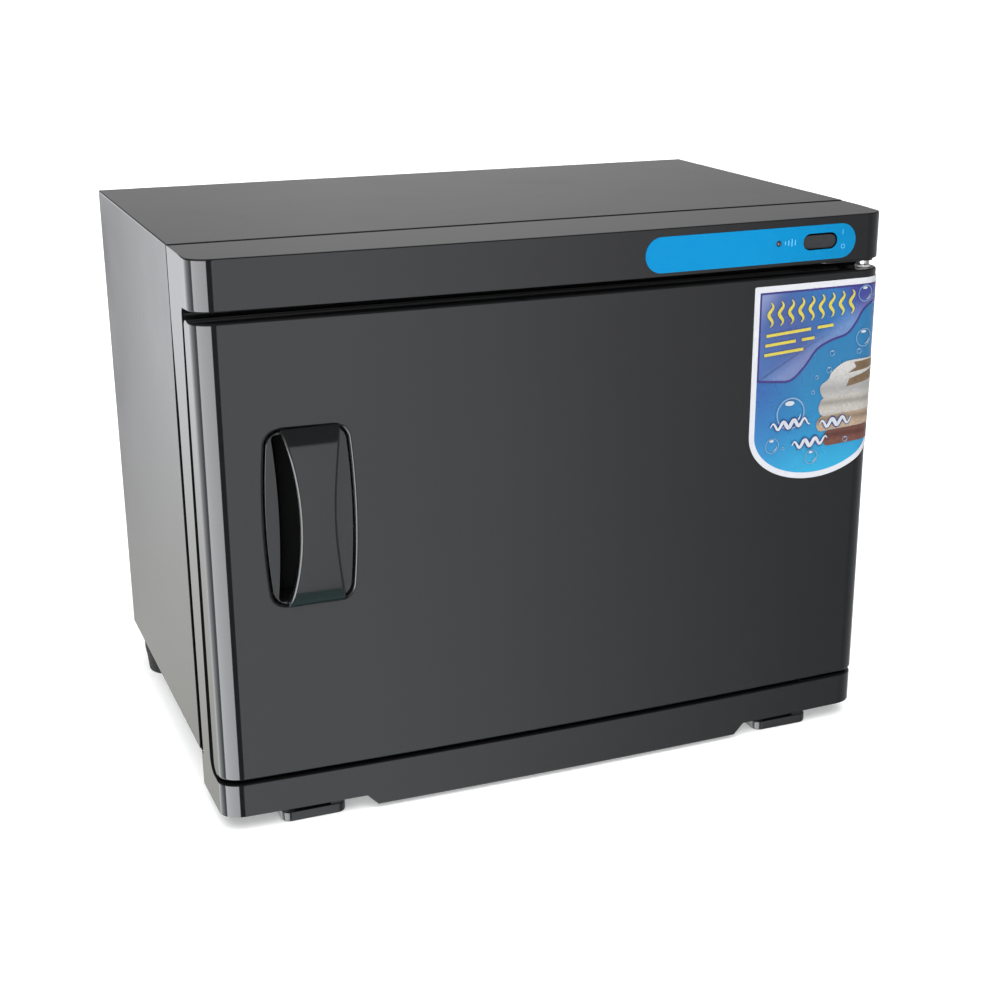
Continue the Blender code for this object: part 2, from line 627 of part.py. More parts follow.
def build_controls(rocker_pivot):
    overlay = crowned_sheet("control_overlay", STRIP_X0 - 1, STRIP_X1 + 1, GAP, GAP + 0.5,
                            STRIP_Z - STRIP_H / 2 - 1, STRIP_Z + STRIP_H / 2 + 1, BLUE)
    middle, width = (STRIP_X0 + STRIP_X1) / 2, STRIP_X1 - STRIP_X0
    window = stadium(SWITCH_X, SWITCH_Z, SWITCH_W, SWITCH_H)
    keep(overlay, prism("overlay_outline", [stadium(middle, STRIP_Z, width, STRIP_H, 12)], "XZ", -20, 20))
    cut(overlay, prism("overlay_window", [window], "XZ", -20, 20))
    cut(overlay, prism("overlay_lamp_hole", [circle(LAMP_X, LAMP_Z, 1.8)], "XZ", -20, 20))

    inner_face = front_y(SWITCH_X) + FRAME_WALL + GAP + 0.3
    housing = box("switch_housing", (SWITCH_X - 16, SWITCH_X + 16), (inner_face, 26), (SWITCH_Z - 8.5, SWITCH_Z + 8.5),
                  DARK_PLASTIC, 1.0, 1)
    cut(housing, prism("rocker_well", [stadium(SWITCH_X, SWITCH_Z, 25.2, 11.0)], "XZ", -5, 10))
    cut(housing, turned("trunnion_holes", [(1.6, -15), (1.6, 15)], (SWITCH_X, ROCKER_Y, SWITCH_Z), "X"))
    for dx in (-5, 5):
        join(housing, box("switch_tab", (SWITCH_X + dx - 1.5, SWITCH_X + dx + 1.5), (25, 30), (336.8, 337.6)))

    rocker = prism("switch_rocker", [stadium(SWITCH_X, SWITCH_Z, 24.2, 9.0)], "XZ", -1.1, 8.0, DARK_PLASTIC)
    join(rocker, turned("trunnions", [(1.2, -14), (1.2, 14)], (SWITCH_X, ROCKER_Y, SWITCH_Z), "X"))
    ride(rocker, rocker_pivot)
    for mod in rocker.modifiers:
        ride(mod.object, rocker_pivot)
    rocker_pivot.rotation_euler = (ROCKER_TILT, 0, 0)

    front = front_y(LAMP_X)
    profile = [(1.0, front - 1.6), (1.5, front - 1.2), (1.5, front + 3.3), (2.6, front + 3.3), (2.6, front + 9)]
    turned("indicator_lamp", profile, (LAMP_X, 0, LAMP_Z), "Y", RED_LENS, 14)


# ---------------------------------------------------------------- door

def build_hinges():
    """Two steel plates on the frame, each with a fixed pin that the door turns on."""
    x, y = HINGE_X, HINGE_Y
    outline = rounded(x - 34, x + 6, y - 6, y + 6, 5.5, 3)
    top = PANEL_BOTTOM - GAP
    prism("hinge_plate_top", [outline, circle(x - 27, y, 1.8, 10)], "XY", top - 1.5, top, ZINC)
    low = STRIP_TOP + GAP
    prism("hinge_plate_bottom", [outline, circle(x - 27, y, 1.8, 10)], "XY", low, low + 1.2, ZINC)
    collar_top, pin_end = top - 1.5 - GAP, DOOR_Z1 - 14
    turned("hinge_pin_top", [(PIN_R, pin_end), (PIN_R, DOOR_Z1 + 2.2), (4.2, DOOR_Z1 + 2.2), (4.2, collar_top)],
           (x, y, 0), "Z", ZINC)
    collar_low = low + 1.2 + GAP
    turned("hinge_pin_bottom", [(4.2, collar_low), (4.2, DOOR_Z0 - GAP), (PIN_R, DOOR_Z0 - GAP), (PIN_R, DOOR_Z0 + 14)],
           (x, y, 0), "Z", ZINC)


def build_door(door_pivot):
    pieces = [build_door_shell(), build_door_liner(), build_door_insulation(), build_door_gasket()]
    pieces += build_door_bushes() + [build_handle_cup(), build_handle_strap()] + build_handle_screws()
    pieces += [build_label(), build_striker()]
    for piece in pieces:
        ride(piece, door_pivot)


def build_door_shell():
    """The glossy outer skin with a solid hinge stile on the right."""
    shell = prism("door_outer_shell", [plan(0, DOOR_BACK, DOOR_CORNER, DOOR_CORNER)], "XY", DOOR_Z0, DOOR_Z1, BLACK_ABS)
    low, high = DOOR_Z0, DOOR_Z1
    front, back = -30.0, DOOR_BACK
    side = [(front, low)] + arc(back - 7, low + 7, 7, -90, 0, 4) + arc(back - 4, high - 4, 4, 0, 90, 3) + [(front, high)]
    keep(shell, prism("door_side_form", [side], "YZ", -HALF_WIDTH - 5, HALF_WIDTH + 5))
    w = DOOR_WALL
    hollow = [p for p in plan(w, DOOR_BACK + 20, DOOR_CORNER) if p[0] < STILE_X - 1]
    hollow += [(STILE_X, front_y(STILE_X) + w), (STILE_X, DOOR_BACK + 20)]
    cut(shell, prism("door_hollow", [hollow], "XY", DOOR_Z0 + w, DOOR_Z1 - w))
    cut(shell, prism("cup_window", [barrel(CUP_HALF_Z + GAP, CUP_END_W + GAP, CUP_MID_W + GAP)], "XZ", -20, 10))
    for z in (DOOR_Z0, DOOR_Z1):
        ends = [(BUSH_R + GAP, z - 15), (BUSH_R + GAP, z + 15)]
        cut(shell, turned("bush_bore", ends, (HINGE_X, HINGE_Y, 0), "Z"))
    return shell


def build_door_bushes():
    x, y, r = HINGE_X, HINGE_Y, BUSH_R
    bore = PIN_R + 0.25
    top = sleeve("hinge_bush_top", [(r, DOOR_Z1 - 14.5), (r, DOOR_Z1 + GAP), (5.0, DOOR_Z1 + GAP), (5.0, DOOR_Z1 + 1.6)],
                 bore, (x, y, 0), "Z", LINER)
    low = sleeve("hinge_bush_bottom", [(r, DOOR_Z0 + 0.1), (r, DOOR_Z0 + 14.5)], bore, (x, y, 0), "Z", LINER)
    return [top, low]


def build_door_liner():
    """Inner door panel with a shallow plug that enters the chamber's mouth."""
    w = DOOR_WALL + GAP
    z0, z1 = DOOR_Z0 + w, DOOR_Z1 - w
    liner = prism("door_inner_liner", [rounded(-HALF_WIDTH + w, STILE_X - GAP, z0, z1, 4)], "XZ", LINER_FRONT,
                  LINER_BACK, LINER)
    plug = prism("liner_plug", [rounded(-172, 172, MOUTH_Z0 + 8, MOUTH_Z1 - 8, 10)], "XZ", LINER_BACK - 1, 24)
    return join(liner, plug)


def build_door_insulation():
    slab = box("door_insulation", (-HALF_WIDTH + 9, STILE_X - 3), (3.2, LINER_FRONT - GAP), (DOOR_Z0 + 5, DOOR_Z1 - 5),
               FOAM)
    return cut(slab, prism("cup_clearance", [barrel(CUP_HALF_Z + 3, CUP_END_W + 3, CUP_MID_W + 3)], "XZ", -5, 30))


def build_door_gasket():
    outer = rounded(-MOUTH_X - 16, MOUTH_X + 16, MOUTH_Z0 - 16, MOUTH_Z1 + 16, 12)
    inner = rounded(-MOUTH_X - 4, MOUTH_X + 4, MOUTH_Z0 - 4, MOUTH_Z1 + 4, 6)
    return prism("door_gasket", [outer, inner], "XZ", LINER_BACK + GAP, FLANGE_FRONT - GAP, RUBBER)


def build_handle_cup():
    """The dished finger well behind the handle. Its front follows the bow of the door."""
    cup = crowned_sheet("handle_cup", HANDLE_X - 34, HANDLE_X + 34, 0, -CUP_BACK, HANDLE_Z - 60, HANDLE_Z + 60, BLACK_ABS)
    keep(cup, prism("cup_outline", [barrel(CUP_HALF_Z, CUP_END_W, CUP_MID_W)], "XZ", -20, CUP_BACK))
    mouth = barrel(CUP_HALF_Z - 1.5, CUP_END_W - 1.5, CUP_MID_W - 1.5)
    floor = barrel(CUP_HALF_Z - 5.5, 12.0, 14.5)
    cut(cup, loft("cup_dish", mouth, front_y(HANDLE_X) - 1.2, floor, CUP_FLOOR))
    for z in handle_leg_places():
        cut(cup, turned("cup_screw_hole", [(1.9, 5), (1.9, 30)], (HANDLE_X, 0, z), "Y"))
    return cup


def loft(name, near, near_y, far, far_y):
    """A closed solid between two outlines of the same number of points, one behind the other."""
    bm = bmesh.new()
    rings = []
    for outline, y in ((near, near_y), (far, far_y)):
        rings.append([bm.verts.new(place(u, y, v)) for u, v in outline])
        bm.faces.new(rings[-1])
    count = len(near)
    for i in range(count):
        j = (i + 1) % count
        bm.faces.new((rings[0][i], rings[0][j], rings[1][j], rings[1][i]))
    return add_object(name, finish_mesh(bm, name), None)


def handle_leg_places():
    middle = (LEG_OUTER + LEG_INNER) / 2
    return (HANDLE_Z - middle, HANDLE_Z + middle)


def bow(base_y, front_most, half, steps=16):
    """Side view of a bow from a base depth out to its furthest point: a superellipse, flat in the middle."""
    points = []
    for i in range(steps + 1):
        t = math.sin(math.pi * (i / steps - 0.5))
        depth = (base_y - front_most) * (1 - abs(t) ** 2.6) ** 0.62
        points.append((base_y - depth, HANDLE_Z + half * t))
    return points


def build_handle_strap():
    """An hourglass strap that bows out over the cup, with two legs that stand on the cup's floor."""
    face = front_y(HANDLE_X + HANDLE_END_W) - GAP
    outer = bow(face, HANDLE_FRONT, HANDLE_HALF)
    inner = bow(face, HANDLE_FRONT + HANDLE_T, LEG_OUTER - 1.0)
    strap = prism("handle_strap", [outer + inner[::-1]], "YZ", HANDLE_X - 25, HANDLE_X + 25, BLACK_ABS)
    keep(strap, prism("strap_outline", [barrel(HANDLE_HALF + 1, HANDLE_END_W + 0.3, HANDLE_WAIST, 14)], "XZ", -40, 40))
    for side in (-1, 1):
        zs = sorted((HANDLE_Z + side * LEG_INNER, HANDLE_Z + side * LEG_OUTER))
        join(strap, box("strap_leg", (HANDLE_X - 8.5, HANDLE_X + 8.5), (face - 5.0, CUP_FLOOR - GAP), zs))
    for z in handle_leg_places():
        cut(strap, turned("leg_pilot_hole", [(1.5, 2.5), (1.5, 30)], (HANDLE_X, 0, z), "Y", None, 10))
    return strap


def build_handle_screws():
    screws = []
    for z, label in zip(handle_leg_places(), ("bottom", "top")):
        screws.append(screw("handle_screw_" + label, (HANDLE_X, CUP_BACK + 1.7, z), "Y", 3.0, 1.4, 13.0, 1.2, -1))
    return screws


def build_label():
    """The film label on the upper right of the door. It wraps a little way round the corner."""
    near, far = GAP, GAP + 0.4
    x0, z0, z1 = 128.5, 181.0, 311.4
    middle, half = 175.5, 47.0
    r = DOOR_CORNER
    cx = HALF_WIDTH - r
    cy = front_y(cx) + r
    xs = [x0 - 2 + (cx - x0 + 2) * i / 8 for i in range(9)]
    outline = [(x, front_y(x) - near) for x in xs[:-1]] + arc(cx, cy, r + near, 270, 340, 6)
    outline += arc(cx, cy, r + far, 340, 270, 6) + [(x, front_y(x) - far) for x in reversed(xs[:-1])]
    label = prism("door_label", [outline], "XY", z0 - 5, z1 + 5, LABEL)
    shape = [(x0, z1), (x0, 214.0)]
    shape += [(middle - half * math.cos(a), 214.0 - 33.0 * math.sin(a))
              for a in (math.pi * i / 16 for i in range(1, 16))]
    shape += [(middle + half, 214.0), (middle + half, z1)]
    return keep(label, prism("label_outline", [shape], "XZ", -20, 20))


def build_striker():
    return box("striker_plate", (-218, -203), (LINER_BACK + GAP, LINER_BACK + GAP + 1.0), (169, 207), ZINC)


def build_magnet_catch():
    return box("magnet_catch", (-217, -204), (FLANGE_FRONT - 1.0, 34), (171, 205), DARK_PLASTIC, 0.8, 1)


# ---------------------------------------------------------------- assembly

def pivot(name, x, y, z):
    """An empty on a joint's axis, which the moving pieces are parented to."""
    empty = bpy.data.objects.new(name, None)
    empty.location = place(x, y, z)
    PARTS.objects.link(empty)
    return empty


def ride(obj, parent):
    bpy.context.view_layer.update()
    obj.parent = parent
    obj.matrix_parent_inverse = parent.matrix_world.inverted()


def main():
    door_pivot = pivot("door_pivot", HINGE_X, HINGE_Y, DOOR_Z0)
    rocker_pivot = pivot("rocker_pivot", SWITCH_X, ROCKER_Y, SWITCH_Z)
    rack_pivot = pivot("rack_slide", 0, RACK_FRONT, RACK_Z)
    tray_pivot = pivot("tray_slide", 0, TRAY_FRONT, MOUTH_Z0)
    bpy.context.view_layer.update()
    build_outer_casing()
    build_front_frame()
    build_rear_panel()
    build_base_plate()
    build_feet()
    build_rear_screws()
    build_cord_gland()
    build_inner_chamber()
    build_insulation()
    build_heater()
    build_electrics()
    build_wires()
    build_rack_and_tray(rack_pivot, tray_pivot)
    build_controls(rocker_pivot)
    build_magnet_catch()
    build_hinges()
    build_door(door_pivot)


main()
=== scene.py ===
"""Looks of a table-top hot towel cabinet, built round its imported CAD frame.

The helpers work in millimetres: X across with 0 at the middle, Y from front to back with 0 at the two ends
of the bowed front face, Z above the table. put() turns such a point into metres in the frame that the CAD
shares.
"""

import math

import bmesh
import bpy
from mathutils import Matrix, Vector


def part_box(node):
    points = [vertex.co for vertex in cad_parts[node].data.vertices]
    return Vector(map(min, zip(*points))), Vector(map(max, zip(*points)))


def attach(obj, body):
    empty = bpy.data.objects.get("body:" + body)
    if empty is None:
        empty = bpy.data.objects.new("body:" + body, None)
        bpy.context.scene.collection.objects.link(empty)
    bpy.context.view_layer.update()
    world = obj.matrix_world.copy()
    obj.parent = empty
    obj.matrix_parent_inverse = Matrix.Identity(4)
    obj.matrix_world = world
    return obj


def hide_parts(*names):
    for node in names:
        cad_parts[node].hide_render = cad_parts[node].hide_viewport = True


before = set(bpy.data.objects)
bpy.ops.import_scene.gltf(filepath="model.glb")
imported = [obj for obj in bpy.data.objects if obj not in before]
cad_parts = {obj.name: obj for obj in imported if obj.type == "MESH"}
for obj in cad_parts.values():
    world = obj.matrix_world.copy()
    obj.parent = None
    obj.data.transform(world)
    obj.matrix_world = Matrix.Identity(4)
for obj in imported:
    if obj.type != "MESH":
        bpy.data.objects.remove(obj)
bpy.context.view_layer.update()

MM = 0.001
SCENE = bpy.context.scene

# ---- sizes read from the frame

FRAME_LOW, FRAME_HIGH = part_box("front_frame")
HALF = FRAME_HIGH.x / MM  # half the cabinet's width
HEIGHT = FRAME_HIGH.z / MM
CROWN = 4.5  # how far the middle of the front bows out
CHORD_Y = FRAME_LOW.y + CROWN * MM


def put(x, y, z):
    return Vector((x * MM, CHORD_Y + y * MM, z * MM))


def unplace(co):
    """A mesh point in the helpers' millimetres."""
    return co.x / MM, (co.y - CHORD_Y) / MM, co.z / MM


def limits(node):
    """A CAD node's box in the helpers' millimetres: (x0, x1), (y0, y1), (z0, z1)."""
    return tuple(zip(*(unplace(corner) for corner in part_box(node))))


def middle(pair):
    return (pair[0] + pair[1]) / 2


def centre_of(node, axis=""):
    """The middle of a CAD node's box, with 0 along one axis if it is named."""
    return [0 if name == axis else middle(pair) for name, pair in zip("XYZ", limits(node))]


def front_y(x):
    """Depth of the bowed front face."""
    return -CROWN * (1 - (x / HALF) ** 2)


(CASE_FRONT, CASE_BACK), (CASE_Z0, _) = limits("outer_casing")[1:]
(_, DOOR_BACK), (DOOR_Z0, DOOR_Z1) = limits("door_outer_shell")[1:]
FRAME_BACK = CASE_FRONT - 0.8
LIP_BACK = limits("front_frame")[1][1]
FOOT_Z = limits("front_frame")[2][0]
LAMP_X, _, LAMP_Z = centre_of("indicator_lamp")
HANDLE_X, _, HANDLE_Z = centre_of("handle_strap")

# ---- sizes taken from the photograph

CORNER_ALONG, CORNER_DEEP = 16.0, 12.0  # the soft front corners, along the front and along the side
DRAFT = 0.45  # how much narrower the mouldings are at their corners than at their backs
FRAME_STEP = 0.5  # how far the frame lies below the casing's top
SIDE_STEP = 0.2  # how far the frame lies inside the casing's sides
SEAM_FLOOR = 2.2  # how deep the seams at the frame's sides are cut, from the casing's sides
DOOR_LOW = DOOR_Z0 - 0.7  # the door's lower edge
DOOR_LEFT = 0.9 - HALF  # the door's left side lies a little inside the frame's
STRIP_TOP = DOOR_Z0 - 3.6  # the recess for the door, from the strip below to the control housing above
PANEL_BOTTOM = DOOR_Z1 + 6.5
FLANGE_FRONT, FLANGE_BACK = 22.5, 25.5
WALL = 3.0
MOUTH = (180.0, 70.0, 285.0)  # half width, lowest and highest point of the chamber's mouth
SWITCH_X, SWITCH_Z = 174.6, 337.2
SWITCH_W, SWITCH_H = 25.4, 10.4
HINGE = (215.0, 10.0, 0)
CUP_HOLE = (53.6, 23.6, 26.7, 8.0)  # the window for the cup: half height, end and middle half widths, corner
CUP_SHIFT = -1.0  # the cup and its window sit a little left of the handle's middle
STRAP_SHIFT = 0.9  # and the strap a little right of it
SCREW_RISE = 43.6  # the handle's screws, above and below its middle
LABEL_U0, LABEL_U1 = 128.5, 228.0  # the label's sides, as lengths along the bowed front
LABEL_TOP, LABEL_TURN, LABEL_DEEP = 311.4, 214.0, 33.0  # its top, the start of its bowl and the bowl's depth


# ---- node helpers

class Nodes:
    """Builds a material's nodes with little noise in the script."""

    def __init__(self, tree):
        self.tree = tree

    def add(self, kind, **settings):
        node = self.tree.nodes.new("ShaderNode" + kind)
        for key, value in settings.items():
            setattr(node, key, value)
        return node

    def feed(self, target, value):
        """Links a socket, or sets a plain number or colour."""
        if isinstance(value, bpy.types.NodeSocket):
            self.tree.links.new(value, target)
        else:
            target.default_value = (*value, 1.0) if target.type == "RGBA" else value

    def fill(self, sockets, **values):
        """Feeds sockets by name, with _ for a space."""
        for name, value in values.items():
            self.feed(sockets[name.replace("_", " ")], value)

    def run(self, node, values, first=0):
        for target, value in zip(node.inputs[first:], values):
            self.feed(target, value)
        return node.outputs[0]

    def math(self, operation, *values):
        return self.run(self.add("Math", operation=operation), values)

    def times(self, first, second):
        return self.math("MULTIPLY", first, second)

    def plus(self, first, second):
        return self.math("ADD", first, second)

    def minus(self, first, second):
        return self.math("SUBTRACT", first, second)

    def span(self, value, low, high, to_low=0.0, to_high=1.0, smooth=False):
        kind = "SMOOTHSTEP" if smooth else "LINEAR"
        return self.run(self.add("MapRange", interpolation_type=kind), (value, low, high, to_low, to_high))

    def ramp(self, value, stops):
        node = self.add("ValToRGB")
        elements = node.color_ramp.elements
        elements.remove(elements[-1])
        for index, (position, colour) in enumerate(stops):
            element = elements.new(position) if index else elements[0]
            element.position = position
            element.color = (*colour, 1.0) if isinstance(colour, tuple) else (colour, colour, colour, 1.0)
        return self.run(node, [value])

    def mix(self, factor, first, second, blend="MIX"):
        node = self.add("Mix", data_type="RGBA", blend_type=blend)
        self.feed(node.inputs[0], factor)
        self.run(node, (first, second), 6)
        return node.outputs[2]

    def noise(self, scale, detail=2.0, stretch=(1, 1, 1)):
        """Noise over the object's own coordinates, in metres."""
        place, node = self.add("Mapping"), self.add("TexNoise")
        self.fill(place.inputs, Vector=self.add("TexCoord").outputs["Object"], Scale=stretch)
        self.fill(node.inputs, Vector=place.outputs[0], Scale=scale, Detail=detail)
        return node.outputs["Fac"]

    def bump(self, height, distance):
        node = self.add("Bump")
        self.fill(node.inputs, Height=height, Distance=distance)
        return node.outputs[0]

    def axes(self, space="Object"):
        """The coordinates X, Y and Z."""
        split = self.add("SeparateXYZ")
        self.feed(split.inputs[0], self.add("TexCoord").outputs[space])
        return split.outputs


def new_material(name):
    mat = bpy.data.materials.new(name)
    mat.use_nodes = True
    return mat, Nodes(mat.node_tree), mat.node_tree.nodes["Principled BSDF"].inputs


def finish(name, dark, light, rough, drift, polish=None, relief=None, depth=0.0, **sockets):
    """A material from three noises: drift, polish and relief. One left out is the one before it."""
    mat, n, shader = new_material(name)
    colour = n.noise(*drift)
    gloss = n.noise(*polish) if polish else colour
    n.fill(shader, Base_Color=n.mix(colour, dark, light), Roughness=n.span(gloss, 0.3, 0.7, *rough),
           **sockets)
    if depth:
        n.fill(shader, Normal=n.bump(n.noise(*relief) if relief else gloss, depth))
    return mat


def moulded(name, dark, light, rough, wave=0.0):
    """Glossy or satin plastic: faint colour drift, uneven polish and the slight waviness of a moulding."""
    return finish(name, dark, light, rough, (9.0, 3.0), (35.0, 4.0), (14.0, 1.0), wave)


def metal(name, dark, light, rough, scale, stretch=(1, 1, 1), depth=0.00001):
    """Rolled or plated metal with a grain that runs along the stretched axis."""
    return finish(name, dark, light, rough, (scale, 3.0, stretch), depth=depth, Metallic=1.0)


def matt(name, dark, light, rough=(0.6, 0.8), scale=900.0, depth=0.00005, **sockets):
    """Rubber, foam and textured plastic: fine pitting and slow colour drift."""
    return finish(name, dark, light, rough, (12.0, 4.0), (scale, 2.0), depth=depth, **sockets)


# ---- light, floor and camera

def link(obj):
    SCENE.collection.objects.link(obj)
    return obj


def studio_light():
    """A dark studio over pale surfaces, with a tall light on the left that the gloss mirrors."""
    world = bpy.data.worlds.new("studio")
    SCENE.world = world
    world.use_nodes = True
    n = Nodes(world.node_tree)
    x, y, z = n.axes("Generated")
    # heading in degrees: 0 in front, 90 on the left, 180 behind, read from -180 to 180 as 0 to 1
    turn = n.math("ARCTAN2", n.times(x, -1.0), n.times(y, -1.0))
    heading = n.plus(n.math("DIVIDE", turn, 2 * math.pi), 0.5)
    level = n.math("ARCSINE", z)
    brightest = 10.0

    def ring(stops):
        found = [(0.5 + degrees / 360, light / brightest) for degrees, light in stops]
        return n.times(n.ramp(heading, found), brightest)

    def rise(low, high):
        return n.span(level, math.radians(low), math.radians(high), smooth=True)

    front = [(-90, 0.5), (-60, 0.3), (-44, 0.25), (-36, 0.45), (-27, 0.85), (-20, 1.22), (-14, 1.43),
             (-6, 1.48), (-4, 1.0), (-2.5, 0.05), (17, 0.05), (18.5, 7.4), (50, 8.4), (78, 9.2), (80, 1.0),
             (92, 1.2), (97, 2.0), (112, 2.7), (132, 3.9)]
    near = ring([(-179, 1.0), (-120, 0.7)] + front + [
        (150, 3.4), (160, 2.2), (168.2, 1.6), (169.3, 1.3), (170.45, 1.12), (170.8, 0.76), (171.2, 0.57),
        (171.7, 0.35), (172.4, 0.12), (179, 0.2)])
    far = ring([(-179, 0.8), (-120, 0.6)] + front + [
        (150, 2.0), (160, 1.2), (168.2, 1.05), (169.5, 0.82), (171.8, 0.64), (179, 0.6)])
    up = ring([(-179, 0.38), (-170, 0.4), (-164, 0.45), (-158, 0.43), (-150, 0.36), (-120, 0.1), (16, 0.06),
               (18.5, 1.5), (78, 1.5), (80, 0.12), (150, 0.12), (175, 0.12), (179, 0.36)])
    below = n.mix(rise(-24, -11), far, near)
    below = n.mix(n.times(rise(-9, -3), n.span(heading, 0.86, 0.92)), below, (2.0, 2.0, 2.0))
    dusk = n.mix(rise(-30, -22), (0.76, 0.76, 0.72), (1.0, 1.0, 0.95))
    warm = n.mix(n.math("GREATER_THAN", heading, 0.9), (0.97, 1.0, 1.03), dusk)
    below = n.mix(1.0, below, n.mix(rise(-26, -12), warm, (0.99, 1.0, 1.03)), "MULTIPLY")
    below = n.mix(rise(-58, -54), (0.22, 0.45, 0.42), below)
    facing = n.times(n.math("GREATER_THAN", heading, 0.24), n.math("LESS_THAN", heading, 0.545))
    edge = n.span(facing, 0.0, 1.0, math.radians(2), math.radians(23))
    sides = n.mix(n.span(n.minus(level, edge), math.radians(-2), math.radians(2)), below, up)
    colour = n.mix(rise(27, 34), sides, (0.03, 0.035, 0.03))
    n.fill(world.node_tree.nodes["Background"].inputs, Color=colour)
    data = bpy.data.lights.new("soft_light", "SUN")
    data.energy = 4.2
    data.angle = math.radians(70)
    lamp = link(bpy.data.objects.new("soft_light", data))
    lamp.rotation_euler = Vector((0.12, 0.37, -0.92)).to_track_quat("-Z", "Y").to_euler()
    lamp.visible_glossy = False


def studio_floor():
    """A pale floor and a plain wall far behind. The gloss mirrors the studio light and not the floor."""
    disc, tube_wall, height = bmesh.new(), bmesh.new(), 3.5
    bmesh.ops.create_circle(disc, cap_ends=True, segments=64, radius=4.0)
    bmesh.ops.create_cone(tube_wall, cap_ends=False, segments=96, radius1=3.9, radius2=3.9, depth=height)
    bmesh.ops.translate(tube_wall, vec=(0, 0, height / 2 - 0.02), verts=tube_wall.verts)
    pieces = []
    for name, bm, glow in (("floor", disc, 0.3), ("wall", tube_wall, 1.1)):
        mat, n, shader = new_material("pale_" + name)
        n.fill(shader, Specular_IOR_Level=0.0, Emission_Color=(1, 1, 1), Emission_Strength=glow)
        if name == "floor":
            pale = n.mix(n.noise(3.0), (0.86, 0.86, 0.86), (0.88, 0.88, 0.88))
            n.fill(shader, Base_Color=pale, Roughness=0.9)
        else:
            n.fill(shader, Base_Color=(0, 0, 0))
        pieces.append(mesh_object("studio_" + name, bm, mat))
        pieces[-1].visible_glossy = False
    floor, wall = pieces
    wall.visible_diffuse = wall.visible_shadow = wall.visible_transmission = False


def add_camera():
    """From the left front and a little above."""
    data = bpy.data.cameras.new("camera")
    data.sensor_width = 36.0
    data.lens = 60.88
    data.shift_x, data.shift_y = -0.0314, 0.0262
    camera = link(bpy.data.objects.new("camera", data))
    camera.location = (-0.4031, -1.0544, 0.5186)
    camera.rotation_euler = (math.radians(90 - 19.24), 0, math.radians(-22.66))
    SCENE.camera = camera
    SCENE.view_settings.view_transform = "Standard"


# ---- mesh helpers

def mesh_object(name, bm, material):
    mesh = bpy.data.meshes.new(name)
    bm.to_mesh(mesh)
    bm.free()
    if material:
        mesh.materials.append(material)
    return link(bpy.data.objects.new(name, mesh))


def evaluated(obj):
    """A new mesh with the object's modifiers applied."""
    bpy.context.view_layer.update()
    return bpy.data.meshes.new_from_object(obj.evaluated_get(bpy.context.evaluated_depsgraph_get()))


def bake(obj):
    """Makes the modifiers' result the object's own mesh."""
    made = evaluated(obj)
    obj.modifiers.clear()
    obj.data = made


def boolean(obj, others, operation):
    """Cuts, joins or keeps, one by one. The new faces take the other object's material, if it has one."""
    for other in others:
        if not other.data.materials:
            other.data.materials.append(obj.data.materials[0])
        mod = obj.modifiers.new("cut", "BOOLEAN")
        mod.solver = "EXACT"
        mod.material_mode = "TRANSFER"
        mod.operation = operation
        mod.object = other
        bake(obj)
        bpy.data.objects.remove(other, do_unlink=True)


def cut(obj, *others):
    boolean(obj, others, "DIFFERENCE")


def join(obj, *others):
    boolean(obj, others, "UNION")


def keep(obj, other):
    boolean(obj, [other], "INTERSECT")


def drill(obj, radius, centre, axis, low, high, segments=16, material=None):
    cut(obj, lathe("bore", [(radius, low), (radius, high)], centre, axis, material, segments))


def true_crown(mesh, depth):
    """Gives the bowed front face its exact normals, so that cut-outs leave no seams in the shading."""
    normals = [Vector(corner.vector) for corner in mesh.corner_normals]
    points = [unplace(vertex.co) for vertex in mesh.vertices]
    front = {i for face in mesh.polygons if face.normal.y < -0.9965 for i in face.vertices
             if abs(points[i][1] - front_y(points[i][0]) - depth) < 0.12}
    for corner, loop in enumerate(mesh.loops):
        if loop.vertex_index in front:
            true = Vector((2 * CROWN * points[loop.vertex_index][0] / HALF ** 2, -1, 0)).normalized()
            if true.dot(normals[corner]) > 0.9:
                normals[corner] = true
    mesh.normals_split_custom_set(normals)


def dress(obj, body, node, sharp=32, weighted=True, crown=None):
    """Smooth shading with true flats, then the piece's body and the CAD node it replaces."""
    obj.data.shade_smooth()
    obj.data.set_sharp_from_angle(angle=math.radians(sharp))
    if weighted:
        mod = obj.modifiers.new("flats", "WEIGHTED_NORMAL")
        mod.keep_sharp = True
        mod.weight = 90
        bake(obj)
    if crown is not None:
        true_crown(obj.data, crown)
    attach(obj, body)
    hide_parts(node)


def box(name, xs, ys, zs, material=None):
    """A block between two limits on each axis."""
    bm = bmesh.new()
    bmesh.ops.create_cube(bm, size=1.0)
    bmesh.ops.scale(bm, vec=[(high - low) * MM for low, high in (xs, ys, zs)], verts=bm.verts)
    bmesh.ops.translate(bm, vec=put(middle(xs), middle(ys), middle(zs)), verts=bm.verts)
    return mesh_object(name, bm, material)


def stack(name, rings, material=None, caps=True):
    """A solid through closed outlines of the same number of points, one after another."""
    bm = bmesh.new()
    made = [[bm.verts.new(put(*p)) for p in ring] for ring in rings]
    count = len(rings[0])
    for first, second in zip(made, made[1:]):
        for i in range(count):
            j = (i + 1) % count
            bm.faces.new((first[i], first[j], second[j], second[i]))
    if caps:
        bm.faces.new(made[0][::-1])
        bm.faces.new(made[-1])
    bmesh.ops.remove_doubles(bm, verts=bm.verts, dist=1e-7)
    bmesh.ops.recalc_face_normals(bm, faces=bm.faces)
    return mesh_object(name, bm, material)


def lift(outline, plane, w):
    """An outline of a named plane as points in space, at one height above that plane."""
    place = {"XY": lambda u, v: (u, v, w), "XZ": lambda u, v: (u, w, v), "YZ": lambda u, v: (w, u, v)}[plane]
    return [place(u, v) for u, v in outline]


